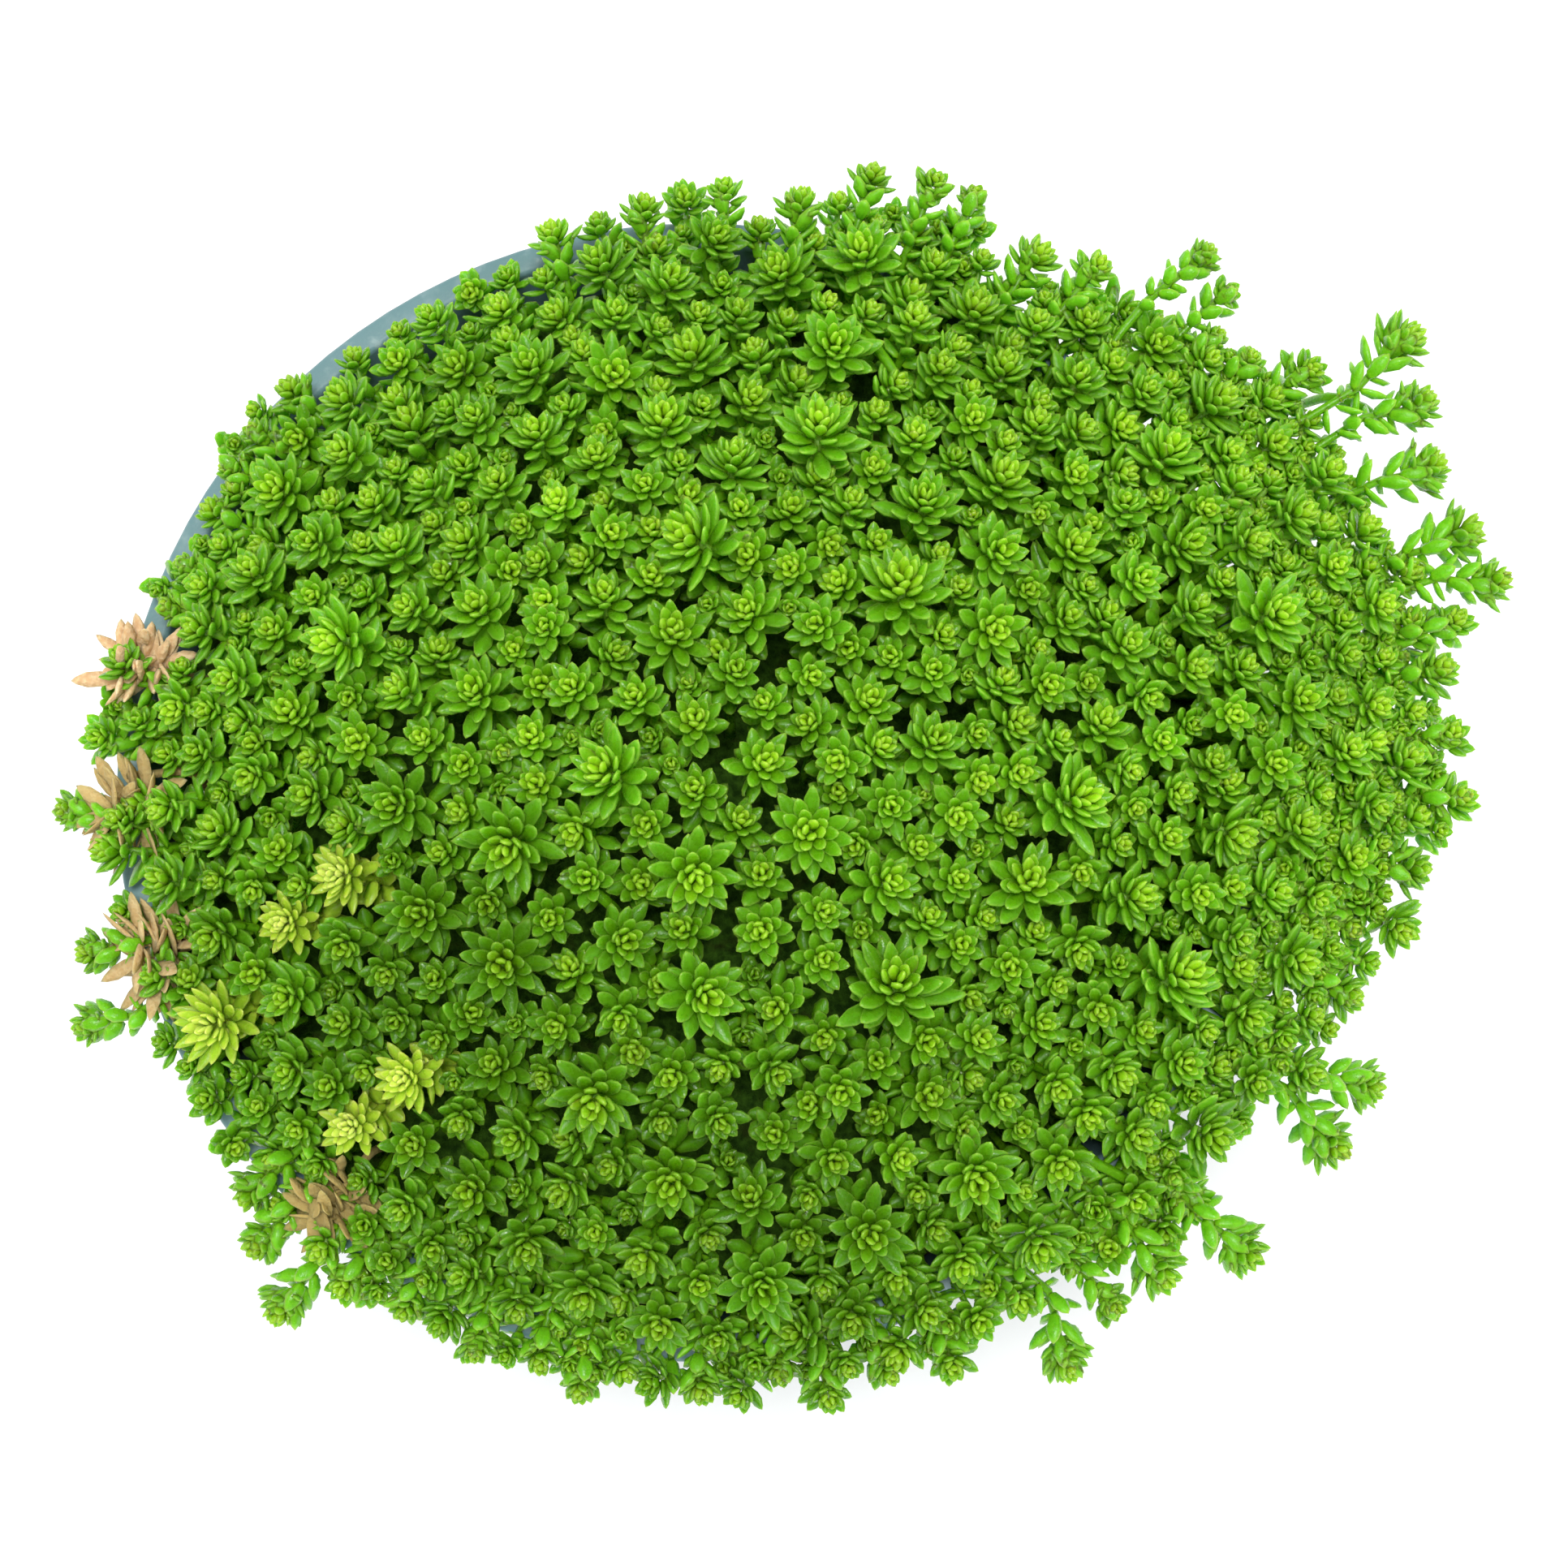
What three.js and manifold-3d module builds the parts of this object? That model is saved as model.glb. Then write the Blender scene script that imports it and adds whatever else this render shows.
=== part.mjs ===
// Goldmoss stonecrop growing in a round nursery pot, in millimetres with +Z up.
// The origin is the middle of the pot's foot, and -Y is the side that the viewer stands on.
// The plant is a low dome of leafy shoots, gathered in tufts that each stand in their own hole in the soil.
// Every shoot ends in a rosette: a star of outer leaves with a pointed bud inside it.

import * as THREE from "three";
import { mergeVertices } from "three/addons/utils/BufferGeometryUtils.js";
import Module from "manifold-3d";

const wasm = await Module();
wasm.setup();

// Pot
const RIM_RADIUS = 76;
const POT_HEIGHT = 110;
const BASE_RADIUS = 52;
const WALL = 1.6;
const COLLAR_HEIGHT = 15;
const COLLAR_STEP = 2.2;
const COLLAR_TAPER = 0.8;
const LIP_ROUND = 0.9;
const FOOT_ROUND = 1.5;
const FLOOR_THICKNESS = 2.2;
const POT_SIDES = 36;
const DRAIN_RADIUS = 4.5;
const DRAIN_CIRCLE = 36;
const DRAIN_COUNT = 6;
const DRAIN_SIDES = 10;

// Soil, and the clearance that separate pieces keep from each other
const SOIL_HEIGHT = 98;
const CLEARANCE = 0.3;

// The dome of shoots: how far it reaches from the pot's axis at each 30 degrees, from +X towards +Y
const REACH = [99, 97, 80.5, 77, 73, 73, 76.5, 77, 79, 80, 82, 89];
const CROWN_HEIGHT = 138;
const EDGE_HEIGHT = 116;
const EDGE_DROOP = 0.42;
const EDGE_INSET = 2.5;
const EDGE_LEAN = 0.55;
const LEAN_SPREAD = 0.3;
const HEIGHT_SPREAD = 3;
const TALL_RISE = 1.5;

// How close the shoots stand, and how large their rosettes are
const SHOOT_PITCH = 4.85;
const FIELD_RADIUS = 102;
const SHOOT_JITTER = 3.4;
const ROSETTE_MIN = 3.7;
const ROSETTE_SPREAD = 2.0;
const FIXED_ROOM = 0.72;
const SETTLE_ROUNDS = 30;
const SEED = 20731;

// Tufts: the middle one, then rings of them given as [radius, count]
const TUFT_RINGS = [[0, 1], [22, 6], [42, 12], [64, 18]];
const CORE_DEPTH = 5;
const CORE_MARGIN = 4.5;
const CORE_INSET = 7;
const CORE_CLEARANCE = 0.35;
const CROWN_ROOT = { radius: 3, depth: 9, circle: 62 };
const SLIM_RADIUS = 2.3;

// The underside of the outer tufts: inside the wall, level over the rim, then falling away past it
const LEDGE_START = 67.5;
const LEDGE_HEIGHT = POT_HEIGHT + 0.7;
const LEDGE_END = RIM_RADIUS + 0.7;
const LEDGE_FALL = 0.62;

// Shoots
const STEM_LENGTH = 6.5;
const RUNNER_RADIUS = 1.3;
const NECK_SHARE = 0.42;
const ROOT_DEPTH = 2.4;
const ROOT_MARGIN = 1.8;
const SIX_LEAF_RADIUS = 5.1;
const FULL_RADIUS = 5.5;
const SMALL_RADIUS = 4.1;
const EDGE_STEM = 9;
const RUNNER_STEM = 15;
const RUNNER_LIFT = 2.5;
const RUNNER_FREE = { inwards: 8.5, radius: 1.8 };
const WITHERED_ROOT = 64.5;
const STOCK_DROP = 1.5;
const LEAF_LENGTH = 6;
const LEAF_WIDTH = 2.6;
const LEAF_SINK = 1;

// Tall leafy shoots that stand out of the dome: x, y and rosette radius
const TALL_SHOOTS = [
  [-21, -14, 6.4], [-9, -6, 6.2], [1, -18, 6.3], [25, -31, 7], [2, -32, 6.2], [1, 23, 6.4], [26, 17, 6.6],
  [16, 38, 6.2], [18, 51, 5.8], [-22, -28, 6.2], [60, -29, 6.2], [-11, -44, 6], [35, -53, 6], [22, -60, 6],
  [9, -66, 5.6], [47, -8, 6.2], [61, 39, 6.2], [-43, 12, 5.8], [22, 66, 5.8], [74, 18, 6.4],
];

// Small places where no shoot stands and the dark inside shows: x and y
const HOLLOW_RADIUS = 2.5;
const HOLLOWS = [[11.6, 7.9], [35.7, 5.3], [15, -28], [27, 45], [-38, -30]];

// Shoots that make the outline: degrees from +X towards +Y, distance from the axis, height, rosette radius
const EDGE_SHOOTS = [
  [67.9, 83.7, 118, 4.1], [64.1, 84.9, 117, 3.2], [73.5, 81.7, 118, 3.3], [79.4, 75, 120, 3.7],
  [87, 76, 119, 3.4], [95.4, 73.8, 119, 3.4], [105, 72.6, 118, 3.7], [137.1, 72.2, 117, 3.6],
  [143, 71.9, 117, 3.4], [147.4, 72, 117, 3], [152.4, 70.6, 117, 3.2], [159, 70.6, 117, 3.2],
  [163.4, 70.9, 116, 3], [-89.1, 78.4, 115, 3.3], [-99.9, 79.8, 113, 3], [-104, 77.2, 115, 3.3],
  [-110, 78.5, 114, 3], [-117.2, 77.4, 114, 3], [-123.2, 78.9, 112, 3.4], [-77.8, 81.3, 113, 3.3],
  [-81.6, 77, 114, 3.2], [-72.3, 80.4, 113, 3], [-66.7, 82.4, 113, 3.5], [-52.6, 86.5, 112, 3],
  [-13.5, 87.4, 108, 3.7], [-19.1, 89.2, 108, 4.1], [-7.8, 94.6, 107, 4.3], [2.8, 100.2, 106, 3.8],
  [-1.8, 101, 104, 4.1], [7.9, 99.3, 107, 4.1], [11.6, 104, 104, 3.5], [40.3, 91.2, 110, 3.7],
  [42.3, 96.2, 112, 2.9], [51.5, 85.5, 115, 3.6], [56.5, 81.5, 116, 4], [33.7, 99, 108, 3.8],
  [36.9, 93.4, 109, 3.5], [-41.3, 85.3, 108, 3.5],
];

// Runners: longer stems that trail past the outline, given the same way
const RUNNERS = [
  [31.5, 111.2, 111, 4.7], [27.4, 110, 107, 3.9], [23.3, 108, 103.5, 3.9], [18, 109, 103, 4.2],
  [13.9, 110.2, 105, 3.6], [45.5, 97, 114, 2.8], [-25, 96.7, 103, 3.4], [-30.1, 96.2, 101, 3.7],
  [-41.2, 94.1, 104, 3.7], [-47.6, 87.5, 109, 3.6], [-58.1, 88.7, 109, 3.7], [-126.8, 85.8, 110, 3.5],
  [-131.7, 81.7, 111, 3.1], [-135.3, 77.6, 113, 3.3], [-162.4, 80.5, 113, 3.1], [-156.8, 84.7, 109, 2.9],
  [-175.8, 81, 112, 2.9],
];

// Yellow shoots, by tuft: x, y and rosette radius
const YELLOW_TUFTS = [
  [[-59.3, -34, 6.2]],
  [[-49.6, -22, 4.8], [-42.4, -16.6, 5.2]],
  [[-41.2, -46.8, 4.9], [-34.2, -41.2, 5.2]],
];

// Withered shoots lying over the rim: degrees from +X towards +Y, distance from the axis, height, radius
const WITHERED_TUFTS = [
  [170.2, 73.8, 115.5, 6], [-178.6, 73.5, 115, 5], [-159.5, 73.5, 115.5, 4.8], [-128.9, 74.4, 115, 4.8],
];

const COLOURS = { pot: 0x6a8b8e, soil: 0x33271d, green: 0x4f8f16, yellow: 0xb9cc2c, withered: 0xb98d5e };

const toRadians = THREE.MathUtils.degToRad;
const UP = new THREE.Vector3(0, 0, 1);

// Seeded draws from 0 to 1, in the same order on every run
let drawState = SEED;
function draw() {
  drawState = (drawState * 16807) % 2147483647;
  return drawState / 2147483647;
}

// A closed three.js geometry as a solid, turned round if its faces point inwards
function solidOf(geometry) {
  const bare = geometry.index ? geometry.toNonIndexed() : geometry.clone();
  bare.deleteAttribute("normal");
  bare.deleteAttribute("uv");
  const merged = mergeVertices(bare, 1e-4);
  const corners = merged.index.array;
  const kept = [];
  for (let i = 0; i < corners.length; i += 3) {
    const [a, b, c] = [corners[i], corners[i + 1], corners[i + 2]];
    if (a !== b && b !== c && a !== c) kept.push(a, b, c);
  }
  const points = merged.attributes.position.array;
  const build = (triangles) => {
    const faces = { numProp: 3, vertProperties: points, triVerts: new Uint32Array(triangles) };
    return new wasm.Manifold(new wasm.Mesh(faces));
  };
  const solid = build(kept);
  return solid.volume() > 0 ? solid : build(kept.reverse());
}

function geometryOf(solid) {
  const { vertProperties, triVerts } = solid.getMesh();
  const geometry = new THREE.BufferGeometry();
  geometry.setAttribute("position", new THREE.BufferAttribute(vertProperties, 3));
  geometry.setIndex(new THREE.BufferAttribute(triVerts, 1));
  geometry.computeVertexNormals();
  return geometry;
}

function unite(solids) {
  return wasm.Manifold.union(solids);
}

// A closed skin over a stack of loops, each a list of points round one axis. A loop of one point is a tip.
function skinOf(loops) {
  const points = loops.flat();
  const triangles = [];
  let start = 0;
  for (let level = 0; level + 1 < loops.length; level++) {
    const lowCount = loops[level].length;
    const highCount = loops[level + 1].length;
    const highStart = start + lowCount;
    let low = 0;
    let high = 0;
    while (low < lowCount || high < highCount) {
      const a = start + (low % lowCount);
      const b = highStart + (high % highCount);
      const lowIsFirst = (low + 1) / lowCount <= (high + 1) / highCount;
      const lowIsNext = high >= highCount || (low < lowCount && lowIsFirst);
      if (lowIsNext && lowCount > 1) triangles.push(a, start + ((low + 1) % lowCount), b);
      if (!lowIsNext && highCount > 1) triangles.push(a, highStart + ((high + 1) % highCount), b);
      if (lowIsNext) low++;
      else high++;
    }
    start = highStart;
  }
  const geometry = new THREE.BufferGeometry();
  const numbers = points.flatMap(({ x, y, z }) => [x, y, z]);
  geometry.setAttribute("position", new THREE.Float32BufferAttribute(numbers, 3));
  geometry.setIndex(triangles);
  return geometry;
}

// A regular loop of points round Z, with every second one at the inner radius and height where those are given
function loop({ count, radius, height, inner = radius, innerHeight = height, turn = 0 }) {
  return Array.from({ length: count }, (_, i) => {
    const angle = turn + (2 * Math.PI * i) / count;
    const r = i % 2 ? inner : radius;
    return new THREE.Vector3(r * Math.cos(angle), r * Math.sin(angle), i % 2 ? innerHeight : height);
  });
}

const tip = (height) => [new THREE.Vector3(0, 0, height)];

// A body turned round Z from a profile of [radius, height] corners
function turned(profile, sides) {
  const points = profile.map(([radius, height]) => new THREE.Vector2(radius, height));
  return solidOf(new THREE.LatheGeometry(points, sides).rotateX(Math.PI / 2));
}

// An upright prism with the given sides, from one height to another
function post(x, y, radius, low, high, sides) {
  const geometry = new THREE.CylinderGeometry(radius, radius, high - low, sides).rotateX(Math.PI / 2);
  return solidOf(geometry.translate(x, y, (low + high) / 2));
}

const wallRadius = (height) =>
  BASE_RADIUS + ((RIM_RADIUS - COLLAR_STEP - BASE_RADIUS) * height) / POT_HEIGHT;
const insideRadius = (height) => wallRadius(height) - WALL;

function pot() {
  const collarBottom = POT_HEIGHT - COLLAR_HEIGHT;
  const body = turned(
    [
      [0, 0],
      [BASE_RADIUS - FOOT_ROUND, 0],
      [wallRadius(FOOT_ROUND), FOOT_ROUND],
      [wallRadius(collarBottom), collarBottom],
      [RIM_RADIUS - COLLAR_TAPER, collarBottom],
      [RIM_RADIUS, POT_HEIGHT - LIP_ROUND],
      [RIM_RADIUS - LIP_ROUND, POT_HEIGHT],
      [insideRadius(POT_HEIGHT) + LIP_ROUND, POT_HEIGHT],
      [insideRadius(POT_HEIGHT), POT_HEIGHT - LIP_ROUND],
      [insideRadius(FLOOR_THICKNESS), FLOOR_THICKNESS],
      [0, FLOOR_THICKNESS],
    ],
    POT_SIDES,
  );
  const drains = [];
  for (let i = 0; i < DRAIN_COUNT; i++) {
    const angle = (2 * Math.PI * i) / DRAIN_COUNT;
    const [x, y] = [DRAIN_CIRCLE * Math.cos(angle), DRAIN_CIRCLE * Math.sin(angle)];
    drains.push(post(x, y, DRAIN_RADIUS, -1, FLOOR_THICKNESS + 1, DRAIN_SIDES));
  }
  return body.subtract(unite(drains));
}

// How far the dome reaches from the axis at an angle, smooth between the named distances
function reachAt(angle) {
  const turns = ((angle / (2 * Math.PI)) % 1) + 1;
  const place = (turns * REACH.length) % REACH.length;
  const before = Math.floor(place) % REACH.length;
  const share = place - Math.floor(place);
  const ease = share * share * (3 - 2 * share);
  return REACH[before] + (REACH[(before + 1) % REACH.length] - REACH[before]) * ease;
}

// The height that the rosettes stand at. Where the dome reaches past the rim, its edge hangs lower.
function domeHeight(x, y) {
  const reach = reachAt(Math.atan2(y, x));
  const edge = EDGE_HEIGHT - EDGE_DROOP * Math.max(0, reach - RIM_RADIUS);
  const share = Math.min(1, Math.hypot(x, y) / reach);
  return edge + (CROWN_HEIGHT - edge) * (1 - share * share);
}

// The way a rosette faces: out of the dome, and more outwards near its edge
function facing(x, y) {
  const slopeX = (domeHeight(x + 1, y) - domeHeight(x - 1, y)) / 2;
  const slopeY = (domeHeight(x, y + 1) - domeHeight(x, y - 1)) / 2;
  const distance = Math.max(1, Math.hypot(x, y));
  const share = Math.min(1, distance / reachAt(Math.atan2(y, x)));
  const push = EDGE_LEAN * share ** 3;
  return new THREE.Vector3(-slopeX + (push * x) / distance, -slopeY + (push * y) / distance, 1).normalize();
}

// Every shoot of the plant. The fixed ones stand where they are named, and the rest fill a spiral and settle
// until no two rosettes crowd each other.
function placeShoots() {
  const shoots = [];
  const around = (degrees, distance) =>
    [distance * Math.cos(toRadians(degrees)), distance * Math.sin(toRadians(degrees))];
  const fix = (x, y, radius, more) => shoots.push({ x, y, radius, fixed: true, ...more });
  YELLOW_TUFTS.forEach((tuft, group) => {
    for (const [x, y, radius] of tuft) fix(x, y, radius, { kind: "yellow", group });
  });
  WITHERED_TUFTS.forEach(([degrees, distance, height, radius], group) =>
    fix(...around(degrees, distance), radius, { kind: "withered", group, height }));
  for (const [degrees, distance, height, radius] of EDGE_SHOOTS)
    fix(...around(degrees, distance), radius, { kind: "edge", height });
  for (const [degrees, distance, height, radius] of RUNNERS) {
    fix(...around(degrees, distance), radius, { kind: "runner", height });
    fix(...around(degrees, distance - RUNNER_FREE.inwards), RUNNER_FREE.radius, { kind: "hollow" });
  }
  for (const [x, y, radius] of TALL_SHOOTS) fix(x, y, radius, { kind: "green", tall: true });
  for (const [x, y] of HOLLOWS) fix(x, y, HOLLOW_RADIUS, { kind: "hollow" });

  const goldenAngle = Math.PI * (3 - Math.sqrt(5));
  for (let i = 0; SHOOT_PITCH * Math.sqrt(i + 0.5) < FIELD_RADIUS; i++) {
    const distance = SHOOT_PITCH * Math.sqrt(i + 0.5);
    const x = distance * Math.cos(i * goldenAngle) + SHOOT_JITTER * (draw() - 0.5);
    const y = distance * Math.sin(i * goldenAngle) + SHOOT_JITTER * (draw() - 0.5);
    const radius = ROSETTE_MIN + ROSETTE_SPREAD * draw() ** 2;
    const inside = Math.hypot(x, y) < reachAt(Math.atan2(y, x)) - EDGE_INSET;
    const crowds = (s) => Math.hypot(s.x - x, s.y - y) < FIXED_ROOM * (s.radius + radius);
    const free = !shoots.some((s) => s.fixed && crowds(s));
    if (inside && free) shoots.push({ x, y, radius, kind: "green" });
  }
  settle(shoots);
  return shoots.filter((s) => s.kind !== "hollow");
}

// Pushes crowded shoots apart, keeps them inside the outline, then trims each rosette clear of its neighbours
function settle(shoots) {
  for (let round = 0; round < SETTLE_ROUNDS; round++) {
    for (let i = 0; i < shoots.length; i++) {
      for (let j = i + 1; j < shoots.length; j++) {
        const [a, b] = [shoots[i], shoots[j]];
        const distance = Math.hypot(b.x - a.x, b.y - a.y);
        const crowding = a.radius + b.radius - distance;
        if (crowding <= 0 || (a.fixed && b.fixed)) continue;
        const share = a.fixed || b.fixed ? 0.5 : 0.25;
        const step = (share * crowding) / distance;
        const [stepX, stepY] = [step * (b.x - a.x), step * (b.y - a.y)];
        if (!a.fixed) [a.x, a.y] = [a.x - stepX, a.y - stepY];
        if (!b.fixed) [b.x, b.y] = [b.x + stepX, b.y + stepY];
      }
    }
    for (const s of shoots) {
      const limit = reachAt(Math.atan2(s.y, s.x)) - EDGE_INSET;
      const distance = Math.hypot(s.x, s.y);
      if (!s.fixed && distance > limit) [s.x, s.y] = [(s.x * limit) / distance, (s.y * limit) / distance];
    }
  }
  const fits = shoots.map((a) =>
    Math.min(1, ...shoots.filter((b) => b !== a && b.kind !== "hollow").map((b) =>
      (Math.hypot(b.x - a.x, b.y - a.y) - CLEARANCE) / (a.radius + b.radius))));
  shoots.forEach((s, i) => (s.radius *= fits[i]));
}

// How high the crowd of stems stands in a tuft, a little below the rosettes
const coreTop = (x, y) => domeHeight(x, y) - CORE_DEPTH;

// How far out that crowd of stems reaches
const coreReach = ({ x, y }) => reachAt(Math.atan2(y, x)) - CORE_INSET;

// How low it may reach at a distance from the axis, over the rim and past it
const ledgeAt = (distance) => LEDGE_HEIGHT - LEDGE_FALL * Math.max(0, distance - LEDGE_END);

// Gives a shoot its height, the way it faces, and the place where its stem leaves the tuft
function stand(shoot) {
  const { x, y } = shoot;
  const rise = HEIGHT_SPREAD * (draw() - 0.5) + (shoot.tall ? TALL_RISE : 0);
  const lean = new THREE.Vector3(LEAN_SPREAD * (draw() - 0.5), LEAN_SPREAD * (draw() - 0.5), 0);
  shoot.spin = 2 * Math.PI * draw();
  shoot.head = new THREE.Vector3(x, y, shoot.height ?? domeHeight(x, y) + rise);
  shoot.axis = facing(x, y).add(lean).normalize();

  const inwards = new THREE.Vector3(-x, -y, 0).normalize();
  const root = shoot.head.clone().addScaledVector(shoot.axis, -STEM_LENGTH);
  if (shoot.kind === "edge") root.copy(shoot.head).addScaledVector(inwards, EDGE_STEM);
  if (shoot.kind === "runner") root.copy(shoot.head).addScaledVector(inwards, RUNNER_STEM);
  if (shoot.kind === "withered") root.set(x, y, 0).setLength(WITHERED_ROOT);
  const isOutside = () => {
    const distance = Math.hypot(root.x, root.y);
    return distance > coreReach(root) - 1 || coreTop(root.x, root.y) < ledgeAt(distance) + ROOT_DEPTH + 0.2;
  };
  while (isOutside()) root.add(inwards);
  root.z = coreTop(root.x, root.y) - ROOT_DEPTH;
  shoot.root = root;
}

// A leafy shoot: from its root it widens to a star of outer leaves, then closes over them in a bud
function rosette({ head, axis, root, radius, spin, kind }, joints = []) {
  const tips = radius > SIX_LEAF_RADIUS ? 6 : 5;
  const ring = (outer, height, inner, innerHeight, turn = 0) =>
    loop({
      count: 2 * tips,
      radius: outer * radius,
      height: height * radius,
      inner: inner * radius,
      innerHeight: innerHeight * radius,
      turn,
    });
  const bud = (outer, height, turn) =>
    loop({ count: tips, radius: outer * radius, height: height * radius, turn });
  const halfTurn = Math.PI / tips;
  const withered = [ring(0.86, -0.2, 0.34, -0.1), tip(0.3 * radius)];
  const full = [ring(1, 0.12, 0.56, -0.12), ring(0.66, 0.42, 0.34, 0.26, halfTurn), bud(0.26, 0.6, 0)];
  const plain = [ring(1, 0.12, 0.56, -0.12), bud(0.44, 0.44, halfTurn)];
  const small = [ring(1, 0.15, 0.56, -0.05)];
  const open = radius > SMALL_RADIUS ? plain : small;
  const green = [...(radius > FULL_RADIUS ? full : open), tip(0.72 * radius)];

  const turn = new THREE.Quaternion().setFromUnitVectors(UP, axis);
  turn.multiply(new THREE.Quaternion().setFromAxisAngle(UP, spin));
  const neck = loop({ count: 3, radius: NECK_SHARE * radius, height: -0.5 * radius });
  const leaves = [neck, ...(kind === "withered" ? withered : green)];
  const placed = leaves.map((points) => points.map((p) => p.applyQuaternion(turn).add(head)));
  return skinOf([[root], ...joints, ...placed]);
}

// One thick leaf, three-sided, from its foot to its tip
function leaf(foot, direction, length, width) {
  const turn = new THREE.Quaternion().setFromUnitVectors(UP, direction);
  const points = [tip(0), loop({ count: 3, radius: width / 2, height: 0.45 * length }), tip(length)];
  return skinOf(points.map((ring) => ring.map((p) => p.applyQuaternion(turn).add(foot))));
}

// A runner arches from inside its tuft, over the rim, to a rosette that looks outwards, with leaves on the way
function runner(shoot) {
  const { head, root, spin } = shoot;
  const middle = root.clone().add(head).multiplyScalar(0.5).addScaledVector(UP, RUNNER_LIFT);
  const path = new THREE.CatmullRomCurve3([root, middle, head]);
  const joints = [0.3, 0.6].map((share) => {
    const turn = new THREE.Quaternion().setFromUnitVectors(UP, path.getTangentAt(share));
    const points = loop({ count: 3, radius: RUNNER_RADIUS, height: 0, turn: spin });
    return points.map((p) => p.applyQuaternion(turn).add(path.getPointAt(share)));
  });
  const parts = [rosette(shoot, joints)];
  for (const [share, side] of [[0.4, 1], [0.5, -1], [0.68, 1]]) {
    const along = path.getTangentAt(share);
    const across = new THREE.Vector3().crossVectors(along, UP).normalize().multiplyScalar(side);
    const direction = across.addScaledVector(along, 0.6).addScaledVector(UP, 0.2).normalize();
    const foot = path.getPointAt(share).addScaledVector(direction, -LEAF_SINK);
    parts.push(leaf(foot, direction, LEAF_LENGTH, LEAF_WIDTH));
  }
  return unite(parts.map(solidOf));
}

const shootSolid = (shoot) => (shoot.kind === "runner" ? runner(shoot) : solidOf(rosette(shoot)));

// The convex outline of a set of plan points, counter-clockwise
function hullOf(points) {
  const sorted = [...points].sort((p, q) => p[0] - q[0] || p[1] - q[1]);
  const turnsLeft = (a, b, c) => (b[0] - a[0]) * (c[1] - a[1]) - (b[1] - a[1]) * (c[0] - a[0]) > 1e-6;
  const chain = (list) => {
    const kept = [];
    for (const p of list) {
      while (kept.length > 1 && !turnsLeft(kept[kept.length - 2], kept[kept.length - 1], p)) kept.pop();
      kept.push(p);
    }
    return kept.slice(0, -1);
  };
  return [...chain(sorted), ...chain(sorted.reverse())];
}

// The part of a plan outline that lies at least the margin on the near side of the line midway to another seed
function clipToSeed(outline, seed, other, margin) {
  const [normalX, normalY] = [other.x - seed.x, other.y - seed.y];
  const length = Math.hypot(normalX, normalY);
  const side = ([x, y]) =>
    ((x - (seed.x + other.x) / 2) * normalX + (y - (seed.y + other.y) / 2) * normalY) / length + margin;
  const kept = [];
  outline.forEach((p, i) => {
    const q = outline[(i + 1) % outline.length];
    const [sideP, sideQ] = [side(p), side(q)];
    if (sideP <= 0) kept.push(p);
    if (sideP < 0 !== sideQ < 0) {
      const share = sideP / (sideP - sideQ);
      kept.push([p[0] + share * (q[0] - p[0]), p[1] + share * (q[1] - p[1])]);
    }
  });
  return kept;
}

// An upright column over a plan outline, between two heights that may vary over the plan
function column(outline, lowAt, highAt) {
  const middle = [0, 1].map((axis) => outline.reduce((sum, p) => sum + p[axis] / outline.length, 0));
  const raised = (points, heightAt) => points.map(([x, y]) => new THREE.Vector3(x, y, heightAt(x, y)));
  const bottom = [raised([middle], lowAt), raised(outline, lowAt)];
  const top = [raised(outline, highAt), raised([middle], highAt)];
  return solidOf(skinOf([...bottom, ...top]));
}

// The plan outline that keeps a margin round a set of upright stems
function outlineRound(stems, margin, sides) {
  const corners = loop({ count: sides, radius: margin, height: 0 });
  return hullOf(stems.flatMap((stem) => corners.map(({ x, y }) => [stem.x + x, stem.y + y])));
}

// What is cut from under an outer tuft so that it stands inside the pot and lies over the rim
function ledge({ x, y }) {
  const far = FIELD_RADIUS + 10;
  const top = [[far, ledgeAt(far)], [LEDGE_END, LEDGE_HEIGHT], [LEDGE_START, LEDGE_HEIGHT]];
  const corners = [[LEDGE_START, 0], [far, 0], ...top];
  const section = new THREE.Shape(corners.map((corner) => new THREE.Vector2(...corner)));
  const geometry = new THREE.ExtrudeGeometry(section, { depth: RIM_RADIUS, bevelEnabled: false });
  geometry.translate(0, 0, -RIM_RADIUS / 2).rotateX(Math.PI / 2).rotateZ(Math.atan2(y, x));
  return solidOf(geometry);
}

// The crowd of stems and lower leaves in a tuft, from the soil up to just under its rosettes
function core(tuft, tufts) {
  let outline = outlineRound(tuft.shoots.map(({ root }) => root), CORE_MARGIN, 4).map(([x, y]) => {
    const share = Math.min(1, coreReach({ x, y }) / Math.hypot(x, y));
    return [x * share, y * share];
  });
  for (const other of tufts)
    if (other !== tuft) outline = clipToSeed(outline, tuft, other, CORE_CLEARANCE / 2);
  const low = SOIL_HEIGHT + CLEARANCE;
  const body = column(outline, () => low, coreTop).subtract(ledge(tuft));
  const { min, max } = body.boundingBox();
  const [x, y] = [(min[0] + max[0]) / 2, (min[1] + max[1]) / 2];
  const distance = Math.hypot(x, y);
  const share = Math.min(1, CROWN_ROOT.circle / distance);
  tuft.hole = { x: x * share, y: y * share };
  const root = post(tuft.hole.x, tuft.hole.y, CROWN_ROOT.radius, SOIL_HEIGHT - CROWN_ROOT.depth, low + 1, 4);
  return unite([body, root]);
}

// The seeds that the green tufts grow round
function tuftSeeds() {
  return TUFT_RINGS.flatMap(([radius, count], ring) =>
    Array.from({ length: count }, (_, i) => {
      const angle = (2 * Math.PI * (i + 0.5 * (ring % 2))) / count;
      return { x: radius * Math.cos(angle), y: radius * Math.sin(angle), shoots: [] };
    }));
}

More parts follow.
